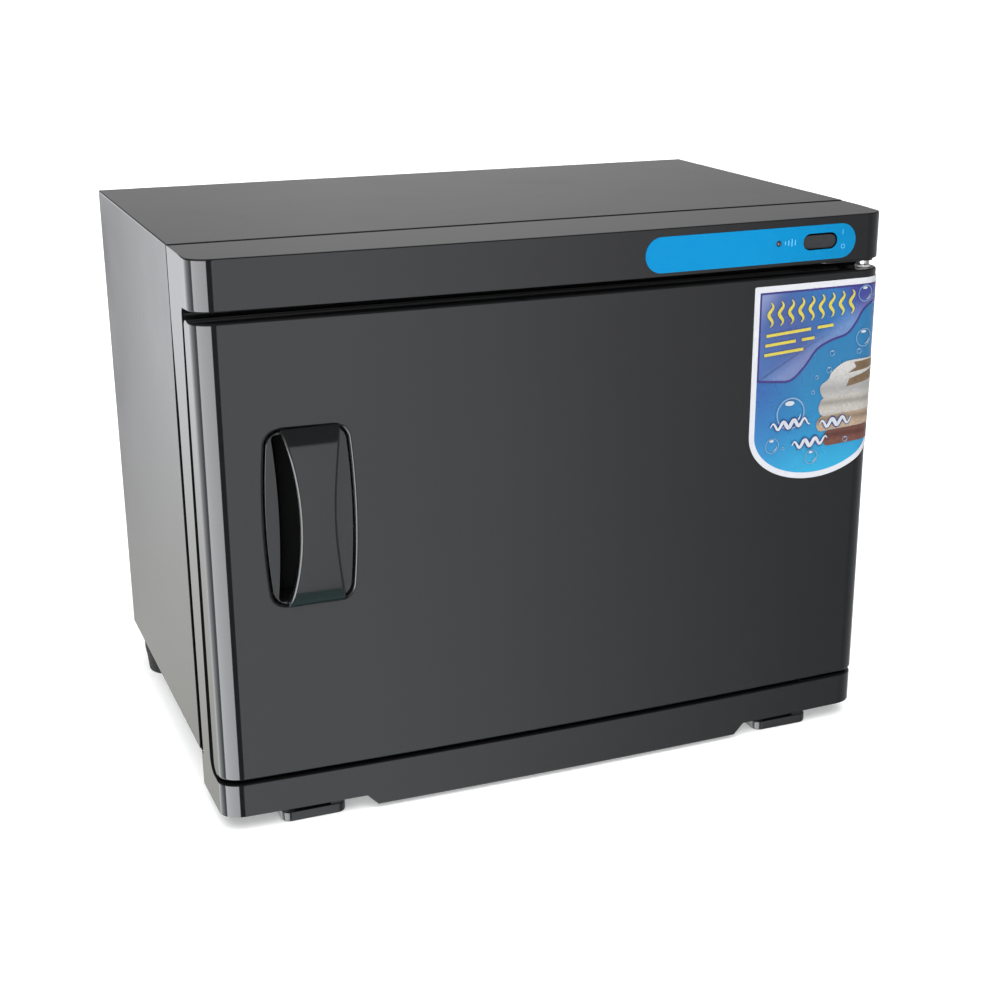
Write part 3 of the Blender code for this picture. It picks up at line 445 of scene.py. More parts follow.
def prism(name, outline, plane, low, high, material=None):
    """An outline in a plane, thickened from low to high along the third axis."""
    return stack(name, [lift(outline, plane, w) for w in (low, high)], material)


def lathe(name, profile, centre, axis, material, segments):
    """A closed solid of revolution from (radius, height) points along the axis."""
    point = {"X": lambda r, a, h: (h, r * math.cos(a), r * math.sin(a)),
             "Y": lambda r, a, h: (r * math.cos(a), h, r * math.sin(a)),
             "Z": lambda r, a, h: (r * math.cos(a), r * math.sin(a), h)}[axis]
    rings = []
    for r, h in [(0.01, profile[0][1])] + list(profile) + [(0.01, profile[-1][1])]:
        around = [point(r, 2 * math.pi * i / segments, h) for i in range(segments)]
        rings.append([(centre[0] + x, centre[1] + y, centre[2] + z) for x, y, z in around])
    return stack(name, rings, material)


def arc(cx, cy, radius, start, end, steps):
    """Points from one angle to another, in degrees, both ends included."""
    angles = [math.radians(start + (end - start) * i / steps) for i in range(steps + 1)]
    return [(cx + radius * math.cos(a), cy + radius * math.sin(a)) for a in angles]


def circle(cx, cy, radius, steps=24):
    return arc(cx, cy, radius, 0, 360, steps)[:-1]


def rounded(u0, u1, v0, v1, radius, steps=8):
    return (arc(u1 - radius, v0 + radius, radius, -90, 0, steps)
            + arc(u1 - radius, v1 - radius, radius, 0, 90, steps)
            + arc(u0 + radius, v1 - radius, radius, 90, 180, steps)
            + arc(u0 + radius, v0 + radius, radius, 180, 270, steps))


def terraces(span, plane, radius, levels, steps=8):
    """Rounded rectangles for stack(), each set in from the span (u0, u1, v0, v1) at a height of its own."""
    u0, u1, v0, v1 = span
    return [lift(rounded(u0 + i, u1 - i, v0 + i, v1 - i, radius(i), steps), plane, w) for i, w in levels]


def stadium(cu, cv, width, height, steps=18):
    r = height / 2
    return arc(cu + width / 2 - r, cv, r, -90, 90, steps) + arc(cu - width / 2 + r, cv, r, 90, 270, steps)


def fillet(radius, steps=5):
    """(inset, drop) pairs of a rounded edge, from the side wall up to the flat."""
    return [(radius * (1 - math.cos(a)), radius * math.sin(a)) for a in
            (math.pi / 2 * i / steps for i in range(steps + 1))]


def round_off(obj, width, pick, segments=3):
    """Rounds the sharp edges whose two ends both pass a test on their place."""
    bm = bmesh.new()
    bm.from_mesh(obj.data)
    limit = math.radians(25)
    chosen = [edge for edge in bm.edges if len(edge.link_faces) == 2 and edge.calc_face_angle(0.0) > limit
              and all(pick(*unplace(vert.co)) for vert in edge.verts)]
    bmesh.ops.bevel(bm, geom=chosen, offset=width * MM, segments=segments, profile=0.5, affect="EDGES",
                    clamp_overlap=False)
    bm.to_mesh(obj.data)
    bm.free()


def wire(name, points, radius, closed=False, sides=10):
    """The mesh of a round wire along a path."""
    curve = bpy.data.curves.new(name, "CURVE")
    curve.dimensions = "3D"
    curve.bevel_depth = radius * MM
    curve.bevel_resolution = sides // 2 - 1
    curve.use_fill_caps = True
    spline = curve.splines.new("POLY")
    spline.points.add(len(points) - 1)
    for point, place in zip(spline.points, points):
        point.co = (*put(*place), 1.0)
    spline.use_cyclic_u = closed
    guide = link(bpy.data.objects.new(name + "_path", curve))
    mesh = evaluated(guide)
    bpy.data.objects.remove(guide, do_unlink=True)
    return mesh


# ---- outlines of the front

def plan(inset, back, rear_right=0.0, left=-HALF, right=HALF, clear=()):
    """The outline from above, from the left back corner round the front to the right back corner.

    No point of the bowed front falls in the clear spans of X, so an opening's edge can be rounded there.
    """
    steps, turn = 56, 14
    low, high = left + inset, right - inset
    along, deep = CORNER_ALONG - inset, CORNER_DEEP - inset
    bend = [((along - DRAFT) * math.sin(a), deep * math.cos(a)) for a in
            (math.pi / 2 * i / turn for i in range(turn + 1))]
    first, last = low + along, high - along
    outline = [(low, back)] + [(first - u, front_y(first) + inset + deep - v) for u, v in reversed(bend)]
    outline += [(x, front_y(x) + inset) for x in (first + (last - first) * i / steps for i in range(1, steps))
                if not any(a < x < b for a, b in clear)]
    outline += [(last + u, front_y(last) + inset + deep - v) for u, v in bend]
    if rear_right:
        return outline + arc(high - rear_right, back - rear_right, rear_right, 0, 90, 10)[1:]
    return outline + [(high, back)]


def side_view(front, back, low, high, low_turn, high_turn):
    """A tall outline in the YZ plane, rounded at the back by one turn below and one above."""
    return ([(front, low)] + arc(back - low_turn, low + low_turn, low_turn, -90, 0, 10)
            + arc(back - high_turn, high - high_turn, high_turn, 0, 90, 8) + [(front, high)])


def barrel(half_z, end_w, mid_w, corner, shift, steps=40):
    """An upright outline about the handle: long sides bow out, or in, between ends with soft corners."""
    flat = half_z - corner
    turn = [math.pi / 20 * i for i in range(1, 11)]
    bend = [(corner * math.sin(a), corner * (1 - math.cos(a))) for a in turn]
    levels = [(-flat - v, drop) for v, drop in reversed(bend)]
    levels += [(flat * (-1 + 2 * i / steps), 0.0) for i in range(steps + 1)]
    levels += [(flat + v, drop) for v, drop in bend]
    right = [(mid_w + (end_w - mid_w) * (v / half_z) ** 2 - drop, v) for v, drop in levels]
    return [(HANDLE_X + shift + u, HANDLE_Z + v) for u, v in right + [(-u, v) for u, v in reversed(right)]]


def crowned(name, x0, x1, near, far, zs, material):
    """A sheet that follows the bowed front, between two distances in front of it."""
    steps = 24
    xs = [x0 + (x1 - x0) * i / steps for i in range(steps + 1)]
    outline = [(x, front_y(x) - near) for x in xs] + [(x, front_y(x) - far) for x in reversed(xs)]
    return prism(name, outline, "XY", *zs, material)


# ---- casing and front frame

def build_casing():
    """Steel sheet folded over the top and sides, with returns behind and below."""
    sheet, fold, ret = 0.8, 1.1, 12.0
    h, top, low = HALF, HEIGHT, CASE_Z0
    outer = [(-h, low)] + arc(-h + fold, top - fold, fold, 180, 90, 6)
    outer += arc(h - fold, top - fold, fold, 90, 0, 6)
    inner = [(h, low), (h - sheet, low)] + arc(h - fold, top - fold, fold - sheet, 0, 90, 6)
    inner += arc(-h + fold, top - fold, fold - sheet, 90, 180, 6) + [(-h + sheet, low)]
    casing = prism("outer_casing", outer + inner, "XZ", CASE_FRONT, CASE_BACK, M["paint"])
    cut_sides(casing, 0.9, rear_seam())
    e = sheet / 2
    back = [(-h + e, low + 0.01), (-h + e, top - e), (h - e, top - e), (h - e, low + 0.01),
            (h - ret, low + 0.01), (h - ret, top - ret), (-h + ret, top - ret), (-h + ret, low + 0.01)]
    join(casing, prism("casing_return", back, "XZ", CASE_BACK - sheet, CASE_BACK - 0.01))
    for side, foot in ((-1, "foot_rear_left"), (1, "foot_rear_right")):
        xs = sorted((side * (h - e), side * (h - 42)))
        join(casing, box("foot_return", xs, (CASE_FRONT + 0.01, CASE_BACK - e), (low + 0.01, low + sheet)))
        drill(casing, 2.3, centre_of(foot, "Z"), "Z", 20, 50)
    for i in range(1, 7):
        drill(casing, 1.9, centre_of("rear_screw_%d" % i, "Y"), "Y", 280, 300)
    round_off(casing, 0.15, lambda x, y, z: y < CASE_FRONT + 0.1 and z > CASE_Z0 + 300, 2)
    dress(casing, "cabinet", "outer_casing", 25)


def rear_seam():
    """The seam between casing and frame, seen from the side: closed at the top and wide at the bottom."""
    return [(FRAME_BACK - 3.2, 250), (FRAME_BACK - 4.4, CASE_Z0 - 0.01), (CASE_FRONT + 3.8, CASE_Z0 - 0.01),
            (CASE_FRONT + 2.6, 250), (CASE_FRONT, 314), (FRAME_BACK, 314)]


def door_seam():
    """The seam between door and frame, seen from the side. It widens downwards as well."""
    turn = 9.0
    return [(5, STRIP_TOP)] + arc(FLANGE_FRONT + 6.5 - turn, STRIP_TOP + turn, turn, -90, 0, 8) + [
        (FLANGE_FRONT + 2.9, 248), (FLANGE_FRONT, PANEL_BOTTOM - 4), (5, PANEL_BOTTOM - 4)]


def cut_sides(obj, deep, outline):
    """Cuts an outline into both sides, to a depth below the casing's sides."""
    for side in (-1, 1):
        cut(obj, prism("seam", outline, "YZ", *sorted((side * (HALF + 5), side * (HALF - deep)))))


def cut_control_holes(obj, reach):
    """The window for the switch and the hole for the lamp."""
    cut(obj, prism("window", stadium(SWITCH_X, SWITCH_Z, SWITCH_W, SWITCH_H), "XZ", -reach, reach),
        prism("lamp_hole", circle(LAMP_X, LAMP_Z, 1.8), "XZ", -reach, reach))


def build_frame():
    """The one-piece moulding: control housing, side strips, bottom strip and the flange round the mouth."""
    top, inset, w = HEIGHT - FRAME_STEP, 1.4, WALL
    outline = plan(0, FRAME_BACK, left=SIDE_STEP - HALF, right=HALF - SIDE_STEP)
    moulding = prism("front_frame", outline, "XY", FOOT_Z, top, M["gloss"])
    lip = rounded(-HALF + inset, HALF - inset, CASE_Z0 + 3, HEIGHT - inset, 1.0, 3)
    join(moulding, prism("lip", lip, "XZ", FRAME_BACK - 0.01, LIP_BACK, M["dark"]))
    recess = side_view(-40, FLANGE_FRONT, STRIP_TOP, PANEL_BOTTOM, 8, 4)
    cut(moulding, prism("recess", recess, "YZ", -HALF - 10, HALF + 10))
    raised = ((HALF + 5, -5), (HALF + 5, 10.5), (134, 10.5), (127, FOOT_Z), (127, -5))
    for side in (-1, 1):
        step = [(side * x, z) for x, z in raised][::side]
        cut(moulding, prism("step", step, "XZ", -40, LIP_BACK + 12))
    behind = LIP_BACK + 10
    inner = plan(w, behind)
    mx, mz0, mz1 = MOUTH
    cut(moulding, prism("housing_hollow", inner, "XY", PANEL_BOTTOM + w, HEIGHT - w),
        prism("strip_hollow", inner, "XY", -10, STRIP_TOP - w),
        box("back_hollow", (-HALF + w + 1, HALF - w - 1), (FLANGE_BACK, behind),
            (STRIP_TOP - w - 5, PANEL_BOTTOM + w + 5)),
        prism("mouth", rounded(-mx, mx, mz0, mz1, 8), "XZ", 10, behind))
    cut_control_holes(moulding, 10)
    cut(moulding, box("magnet_window", (-217.3, -203.7), (15, 30), (170.7, 205.3)))
    for name in ("foot_front_left", "foot_front_right"):
        drill(moulding, 2.2, (centre_of(name)[0], 15, 0), "Z", 20, STRIP_TOP - 0.9)
    cut_sides(moulding, SEAM_FLOOR, rear_seam())
    cut_sides(moulding, SEAM_FLOOR, door_seam())

    def outside(x, y):
        return y < front_y(x) + CORNER_DEEP + 4 or abs(x) > HALF - SIDE_STEP - 0.1

    for height, width, back in ((top, 1.3, FRAME_BACK - 0.1), (PANEL_BOTTOM, 0.8, 18), (STRIP_TOP, 0.8, 14)):
        round_off(moulding, width, lambda x, y, z: abs(z - height) < 0.02 and y < back and outside(x, y))
    dress(moulding, "cabinet", "front_frame", 25, crown=0)


# ---- feet, screws and gland

def build_feet():
    """Square front pads with a column up into the frame, and tapered round rear feet."""
    edge = ((1.2, 0), (0.4, 0.35), (0, 1.2), (0, 5.2), (0.35, 6.15), (1.2, 6.5))
    for name in ("foot_front_left", "foot_front_right"):
        xs, ys, (z0, z1) = limits(name)
        mid = middle(xs)
        levels = [(inset, z0 + rise) for inset, rise in edge]
        pad = stack(name, terraces(xs + ys, "XY", lambda i: 6 - i, levels, 6), M["foot"])
        join(pad, prism("column", rounded(mid - 12, mid + 12, 5, 25, 3, 4), "XY", 5, z1))
        cut(pad, lathe("bore", [(5.2, -5), (5.2, 18), (2.2, 18), (2.2, 60)], (mid, 15, 0), "Z", None, 24))
        dress(pad, "cabinet", name)
    for name in ("foot_rear_left", "foot_rear_right"):
        top, centre = limits(name)[2][1], centre_of(name, "Z")
        profile = [(15.2, 0), (15.9, 0.3), (16.3, 1.1), (17.3, 11.6), (17.8, 14.2), (18.2, 16.6),
                   (18.3, 17.4), (18.3, top - 0.6), (17.7, top)]
        foot = lathe(name, profile, centre, "Z", M["rubber"], 56)
        cut(foot, lathe("bore", [(5.2, -5), (5.2, 22), (2.3, 22), (2.3, 60)], centre, "Z", None, 24))
        dress(foot, "cabinet", name)


def pan_screw(name, body, axis, sign):
    """A pan-head screw with a cross recess. Its head is at the low end, or the high end if sign < 0."""
    index = "XYZ".index(axis)
    start, end = limits(name)[index][::sign]
    centre = centre_of(name, axis)
    head = (limits(name)[0][1] - limits(name)[0][0]) / 2
    depth, length, shank, pitch = head * 0.58, abs(end - start), head * 0.44, 0.8
    profile = [(head * 0.55, 0), (head * 0.82, depth * 0.12), (head * 0.95, depth * 0.4),
               (head, depth * 0.75), (head, depth), (shank, depth)]
    for i in range(int((length - depth - 1) / pitch)):
        h = depth + 0.4 + pitch * i
        profile += [(shank, h), (shank * 0.84, h + 0.4)]
    profile += [(shank * 0.84, length - 0.6), (shank * 0.4, length)]
    screw = lathe(name, [(r, start + sign * h) for r, h in profile][::sign], centre, axis, M["zinc"], 28)
    for sizes in ((1.1, 0.24), (0.24, 1.1)):
        spans = [(c - head * size / 2, c + head * size / 2) for c, size in
                 zip([c for i, c in enumerate(centre) if i != index], sizes)]
        spans.insert(index, sorted((start - sign, start + sign * depth * 0.62)))
        cut(screw, box("recess", *spans))
    dress(screw, body, name)


def build_screws():
    for i in range(1, 7):
        pan_screw("rear_screw_%d" % i, "cabinet", "Y", -1)
    for place in ("front_left", "front_right", "rear_left", "rear_right"):
        pan_screw("foot_screw_" + place, "cabinet", "Z", 1)
    for end in ("top", "bottom"):
        pan_screw("handle_screw_" + end, "door", "Y", -1)


def build_gland():
    """The cord inlet bush, ribbed where it grips the panel."""
    y0, y1 = limits("cord_gland")[1]
    front, back = limits("rear_panel")[1]
    profile = [(8.0, y0), (8.6, y0 + 0.6), (8.6, front - 0.3), (6.6, front - 0.3), (6.6, back + 0.3),
               (9.0, back + 0.3), (9.2, back + 0.6), (9.2, back + 3.6), (8.9, back + 4.2)]
    for i in range(3):
        y, r = back + 4.4 + i, 0.6 * i
        profile += [(8.3 - r, y), (7.7 - r, y + 0.35), (7.7 - r, y + 0.75)]
    centre = centre_of("cord_gland", "Y")
    gland = lathe("cord_gland", profile + [(6.4, y1 - 0.4), (6.0, y1)], centre, "Y", M["dark"], 48)
    drill(gland, 3.6, centre, "Y", y0 - 5, y1 + 5, 32)
    dress(gland, "cabinet", "cord_gland")


# ---- chamber, rack and tray

def build_chamber():
    """The drawn aluminium liner with its front flange."""
    mx, z0, z1 = MOUTH
    front, back = limits("inner_chamber")[1]
    t, steps = 1.0, 10
    outside = rounded(-mx - t, mx + t, z0 - t, z1 + t, 8 + t, steps)
    chamber = prism("inner_chamber", outside, "XZ", front + 0.01, back, M["aluminium"])
    flange = rounded(-mx - 11, mx + 11, z0 - 11, z1 + 11, 12, steps)
    join(chamber, prism("flange", flange, "XZ", front, front + t))
    levels = [(0, 10)] + [(c, back - t - 4 + s) for c, s in fillet(4.0, 6)]
    cut(chamber, stack("hollow", terraces((-mx, mx, z0, z1), "XZ", lambda i: 8 - i, levels, steps)))
    dress(chamber, "cabinet", "inner_chamber")


def build_rack():
    """A welded rim with rods across it and a tie below them."""
    (x0, x1), (y0, y1), (z0, z1) = limits("wire_rack")
    r, z, bays = (z1 - z0) / 2, middle((z0, z1)), 12
    x0, x1, y0, y1 = x0 + r, x1 - r, y0 + r, y1 - r
    wires = [wire("rim", lift(rounded(x0, x1, y0, y1, 10), "XY", z), r, True, 14)]
    for i in range(1, bays):
        x = x0 + (x1 - x0) / bays * i
        wires.append(wire("rod", [(x, y0, z + 0.2), (x, y1, z + 0.2)], 1.2))
    wires.append(wire("tie", [(x0, middle((y0, y1)), z - 0.25), (x1, middle((y0, y1)), z - 0.25)], 1.2))
    bm = bmesh.new()
    for mesh in wires:
        bm.from_mesh(mesh)
    dress(mesh_object("wire_rack", bm, M["wire"]), "rack", "wire_rack", weighted=False)


def build_tray():
    """A pressed tray with a soft bottom edge."""
    xs, ys, (z0, z1) = limits("drip_tray")
    rise = [(c, z0 + 3 - s) for c, s in fillet(3.0)]
    brim = [(0, z1 - 0.5), (0.25, z1), (0.75, z1), (1.0, z1 - 0.5)]
    levels = rise[::-1] + brim + [(1 + c, z + 1) for c, z in rise]
    tray = stack("drip_tray", terraces(xs + ys, "XY", lambda i: 8 - min(i, 6), levels), M["aluminium"])
    dress(tray, "tray", "drip_tray")


# ---- controls

def build_controls():
    """The blue film, the switch with its rocker at rest, and the lamp."""
    (x0, x1), (z0, z1) = limits("control_overlay")[::2]
    overlay = crowned("control_overlay", x0 - 2, x1 + 2, 0.02, 0.55, (z0 - 2, z1 + 2), M["overlay"])
    outline = stadium(middle((x0, x1)), middle((z0, z1)), x1 - x0, z1 - z0, 24)
    keep(overlay, prism("outline", outline, "XZ", -20, 20))
    cut_control_holes(overlay, 20)
    round_off(overlay, 0.18, lambda x, y, z: y < front_y(x) - 0.5, 2)
    dress(overlay, "cabinet", "control_overlay", 20)

    cx, cz, pivot = SWITCH_X, SWITCH_Z, 3
    inner = limits("switch_housing")[1][0]
    housing = box("switch_housing", (cx - 16, cx + 16), (inner, 26), (cz - 8.5, cz + 8.5), M["dark"])
    cut(housing, prism("well", stadium(cx, cz, 25.2, 11.0), "XZ", -5, 10))
    drill(housing, 1.6, (cx, pivot, cz), "X", -15, 15, 20)
    for dx in (-5, 5):
        join(housing, box("tab", (cx + dx - 1.5, cx + dx + 1.5), (25, 30), (336.8, 337.6)))
    dress(housing, "cabinet", "switch_housing")

    half_x, half_z = 12.1, 4.5
    face = stadium(cx, cz, 2 * half_x, 2 * half_z, 20)
    rings = []
    for inset, y in ((0, 8.0), (0, -0.5), (0.2, -0.95), (0.6, -1.1)):
        along, up = (half_x - inset) / half_x, (half_z - inset) / half_z
        rings.append([(cx + (x - cx) * along, y, cz + (z - cz) * up) for x, z in face])
    rocker = stack("switch_rocker", rings, M["rocker"])
    join(rocker, lathe("trunnions", [(1.2, -14), (1.2, 14)], (cx, pivot, cz), "X", None, 20))
    axle = Matrix.Translation(put(0, pivot, cz))
    rocker.data.transform(axle @ Matrix.Rotation(math.radians(6), 4, "X") @ axle.inverted())
    dress(rocker, "rocker", "switch_rocker", 25)

    front, back = limits("indicator_lamp")[1]
    turn = [math.pi / 16 * i for i in range(1, 9)]
    dome = [(1.5 * math.sin(a), front + 1.5 - 1.5 * math.cos(a)) for a in turn]
    profile = dome + [(1.5, front + 4.9), (2.6, front + 4.9), (2.6, back)]
    lamp = lathe("indicator_lamp", profile, centre_of("indicator_lamp", "Y"), "Y", M["lens"], 32)
    dress(lamp, "cabinet", "indicator_lamp")


# ---- hinges and door

def build_hinges():
    """Collared pins in the frame, and the nylon bushes that the door turns on."""
    for name, collar in (("hinge_pin_top", DOOR_Z1 + 2.2), ("hinge_pin_bottom", DOOR_LOW - 0.3)):
        sign = 1 if collar > DOOR_Z1 else -1
        inner, outer = limits(name)[2][::sign]
        profile = [(2.1, inner), (2.5, inner + sign * 0.5), (2.5, collar), (4.0, collar),
                   (4.2, collar + sign * 0.2), (4.2, outer)][::sign]
        dress(lathe(name, profile, HINGE, "Z", M["zinc"], 32), "cabinet", name)
    low, high = DOOR_Z0, DOOR_Z1
    sleeves = {"hinge_bush_top": [(3.5, high - 14.5), (3.7, high - 14.2), (3.7, high + 0.3),
                                  (5.0, high + 0.3), (5.0, high + 1.35), (4.7, high + 1.6)],
               "hinge_bush_bottom": [(3.7, low + 0.1), (3.7, low + 14.2), (3.5, low + 14.5)]}
    for name, profile in sleeves.items():
        bush = lathe(name, profile, HINGE, "Z", M["nylon"], 32)
        drill(bush, 2.75, HINGE, "Z", low - 20, high + 20, 32)
        dress(bush, "door", name)


def build_door_shell():
    """The bowed skin: a curved plan kept inside a side view, hollow up to the solid hinge stile."""
    w, stile, behind = 2.5, 202.0, DOOR_BACK + 20
    outline = plan(0, DOOR_BACK, 10.0, DOOR_LEFT, clear=[(HANDLE_X - 33, HANDLE_X + 33)])
    shell = prism("door_outer_shell", outline, "XY", DOOR_LOW, DOOR_Z1, M["gloss"])
    side = side_view(-30, DOOR_BACK, DOOR_LOW, DOOR_Z1, 7, 4)
    keep(shell, prism("side_form", side, "YZ", -HALF - 5, HALF + 5))
    hollow = [p for p in plan(w, behind, left=DOOR_LEFT) if p[0] < stile - 1]
    hollow += [(stile, front_y(stile) + w), (stile, behind)]
    cut(shell, prism("hollow", hollow, "XY", DOOR_LOW + w, DOOR_Z1 - w),
        prism("window", barrel(*CUP_HOLE, CUP_SHIFT), "XZ", -20, 10))
    for z in (DOOR_Z0, DOOR_Z1):
        drill(shell, 4.0, HINGE, "Z", z - 15, z + 15, 32)

    def outer_rim(x, y, z):
        away = math.hypot(x - HINGE[0], y - HINGE[1]) > 4.5
        return away and min(abs(z - DOOR_LOW), abs(z - DOOR_Z1)) < 0.02

    def window_rim(x, y, z):
        return abs(x - HANDLE_X) < 29 and abs(z - HANDLE_Z) < 55 and abs(y - front_y(x)) < 0.2

    round_off(shell, 1.4, outer_rim, 4)
    round_off(shell, 2.2, window_rim, 6)
    dress(shell, "door", "door_outer_shell", 25, crown=0)


def build_liner():
    """The white inner panel: a plate and a shallow plug with soft edges and a sunk middle."""
    (x0, x1), (y0, y1), (z0, z1) = limits("door_inner_liner")
    span = (8 - MOUTH[0], MOUTH[0] - 8, MOUTH[1] + 8, MOUTH[2] - 8)
    plate = prism("door_inner_liner", rounded(x0, x1, z0, z1, 4, 6), "XZ", y0, 19.5, M["liner"])
    levels = [(0, 18.5)] + [(c, y1 - 2 + s) for c, s in fillet(2.0)]
    join(plate, stack("plug", terraces(span, "XZ", lambda i: 10 - i, levels)))
    levels = [(14, 30), (14, y1 - 1.4), (16, y1 - 1.8)]
    cut(plate, stack("panel", terraces(span, "XZ", lambda i: 8, levels)))
    dress(plate, "door", "door_inner_liner")


def build_gasket():
    """A closed lip seal: two beads with a groove between them."""
    xs, (y0, y1), zs = limits("door_gasket")
    half = [(0.3, y0), (0, y0 + 0.4), (0, y1 - 1.0), (0.6, y1 - 0.4), (1.8, y1), (3.2, y1 - 0.4),
            (4.2, y1 - 1.2)]
    section = half + [(12.0 - i, y) for i, y in reversed(half)]
    rings = terraces(xs + zs, "XZ", lambda i: 12.5 - i * 0.5, section)
    gasket = stack("door_gasket", rings + rings[:1], M["seal"], caps=False)
    dress(gasket, "door", "door_gasket")


def build_cup():
    """A flush flange inside the door's window, and the finger well behind the handle, darkened with painted
    shade.
    """
    half, end, mid, corner = CUP_HOLE
    back, play = limits("handle_cup")[1][1], 0.75
    cup = crowned("handle_cup", HANDLE_X - 34, HANDLE_X + 34, -0.6, -back - 4, (HANDLE_Z - 60, HANDLE_Z + 60),
                  M["gloss"])
    outline = barrel(half - play, end - play, mid - play, corner, CUP_SHIFT)
    keep(cup, prism("outline", outline, "XZ", -20, back))
    rim = barrel(half - 2.5, 17.7, 15.0, 3.0, 4.0 * CUP_SHIFT)
    floor = barrel(half - 6.0, 14.5, 12.0, 3.0, 3.0 * CUP_SHIFT)
    levels = ((rim, -20), (rim, front_y(HANDLE_X) + 1.5), (floor, 12))
    # The well's faces and the screw holes take the well material: painted shade, near-black and dull.
    cut(cup, stack("well", [lift(outline, "XZ", y) for outline, y in levels], M["well"]))
    for z in (HANDLE_Z - SCREW_RISE, HANDLE_Z + SCREW_RISE):
        drill(cup, 1.9, (HANDLE_X, 0, z), "Y", 5, 30, 20, M["well"])
    round_off(cup, 0.4, lambda x, y, z: abs(y - front_y(x) - 0.6) < 0.06)
    dress(cup, "door", "handle_cup", 25, crown=0.6)


def bow(base_y, front_most, half):
    """Side view of a bow from a base depth out to its furthest point: a superellipse, flat in the middle."""
    points, steps = [], 72
    for i in range(steps + 1):
        t = math.sin(math.pi * (i / steps - 0.5))
        points.append((base_y - (base_y - front_most) * (1 - abs(t) ** 2.6) ** 0.62, HANDLE_Z + half * t))
    return points


def strap_section(outer, inner, width_at):
    """A ring round the strap between matching points of its outer and inner side view."""
    round_out, round_in, steps = 1.7, 0.7, 6
    thick = math.dist(outer, inner)
    quarter = [math.pi / 2 * i / steps for i in range(steps + 1)]
    side = [(round_out * (1 - math.cos(a)), round_out * (1 - math.sin(a))) for a in quarter]
    side += [(thick - round_in * (1 - math.sin(a)), round_in * (1 - math.cos(a))) for a in quarter]
    ring = []
    for sign, points in ((1, side), (-1, side[::-1])):
        for depth, inset in points:
            t = depth / thick
            y, z = outer[0] + (inner[0] - outer[0]) * t, outer[1] + (inner[1] - outer[1]) * t
            ring.append((HANDLE_X + STRAP_SHIFT + sign * (width_at(z) - inset), y, z))
    return ring


def build_strap():
    """The hourglass bow handle on two legs."""
    half, front = 54.5, limits("handle_strap")[1][0]
    end_w, waist = 17.9, 11.0
    face = front_y(HANDLE_X + end_w) - 0.3

    def width_at(z):
        return waist + (end_w - waist) * ((z - HANDLE_Z) / half) ** 2

    sides = zip(bow(face, front, half), bow(face, front + 4.0, 46.2))
    sections = [strap_section(outer, inner, width_at) for outer, inner in sides]
    strap = stack("handle_strap", sections, M["gloss"])
    for side in (-1, 1):
        zs = sorted((HANDLE_Z + side * 40.0, HANDLE_Z + side * 47.2))
        join(strap, box("leg", (HANDLE_X - 8.5, HANDLE_X + 8.5), (face - 5.0, 11.7), zs))
    for z in (HANDLE_Z - SCREW_RISE, HANDLE_Z + SCREW_RISE):
        drill(strap, 1.5, (HANDLE_X, 0, z), "Y", 2.5, 30)
    dress(strap, "door", "handle_strap", 30)


# ---- label and printed marks

def corner_lengths():
    """Length along the corner against its angle."""
    found, last, steps = [(0.0, 0.0)], (0.0, -CORNER_DEEP), 90
    for i in range(1, steps + 1):
        angle = math.pi / 2 * i / steps
        here = (CORNER_ALONG * math.sin(angle), -CORNER_DEEP * math.cos(angle))
        found.append((found[-1][0] + math.dist(last, here), angle))
        last = here
    return found


CORNER_PATH = corner_lengths()
CORNER_X = HALF - CORNER_ALONG


def front_path(u):
    """The door's surface by its length from the middle: a point and its outward direction, from above."""
    if u <= CORNER_X:
        slope = 2 * CROWN * u / HALF ** 2
        size = math.hypot(slope, 1)
        return (u, front_y(u)), (slope / size, -1 / size)
    a = min(u - CORNER_X, CORNER_PATH[-1][0])
    (s0, a0), (s1, a1) = next(pair for pair in zip(CORNER_PATH, CORNER_PATH[1:]) if a <= pair[1][0])
    angle = a0 + (a1 - a0) * (a - s0) / (s1 - s0)
    place = (CORNER_X + CORNER_ALONG * math.sin(angle),
             front_y(CORNER_X) + CORNER_DEEP * (1 - math.cos(angle)))
    out = (math.sin(angle) * CORNER_DEEP, -math.cos(angle) * CORNER_ALONG)
    size = math.hypot(*out)
    return place, (out[0] / size, out[1] / size)


def film(name, shapes, level, thickness, material, body):
    """Flat shapes of (length, height) wrapped onto the bowed front, as a closed sheet between two offsets."""
    bm = bmesh.new()
    for shape in shapes:
        bm.faces.new([bm.verts.new((u, v, 0)) for u, v in shape])
    bmesh.ops.remove_doubles(bm, verts=bm.verts, dist=1e-3)
    bmesh.ops.triangulate(bm, faces=bm.faces)
    low, high = min(v.co.x for v in bm.verts), max(v.co.x for v in bm.verts)
    folds = list(range(int(low) + 1, int(min(high, CORNER_X)) + 1, 5))
    folds += [u for u in (CORNER_X + 0.9 * i for i in range(18)) if u < high - 0.05]
    for u in folds:
        geom = bm.verts[:] + bm.edges[:] + bm.faces[:]
        bmesh.ops.bisect_plane(bm, geom=geom, dist=1e-4, plane_co=(u, 0, 0), plane_no=(1, 0, 0))
    faces, rims = bm.faces[:], [e for e in bm.edges if e.is_boundary]
    flat = {vert: tuple(vert.co) for vert in bm.verts}

    def wrap(spot, offset):
        (x, y), (dx, dy) = front_path(spot[0])
        return put(x + dx * offset, y + dy * offset, spot[1])

    twins = {vert: bm.verts.new(wrap(flat[vert], level)) for vert in flat}
    for vert, spot in flat.items():
        vert.co = wrap(spot, level + thickness)
    for face in faces:
        bm.faces.new([twins[v] for v in reversed(face.verts)])
    for rim in rims:
        a, b = rim.verts
        bm.faces.new((a, b, twins[b], twins[a]))
    bmesh.ops.recalc_face_normals(bm, faces=bm.faces)
    sheet = mesh_object(name, bm, M[material])
    sheet.data.shade_smooth()
    sheet.data.set_sharp_from_angle(angle=math.radians(30))
    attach(sheet, body)
    return sheet


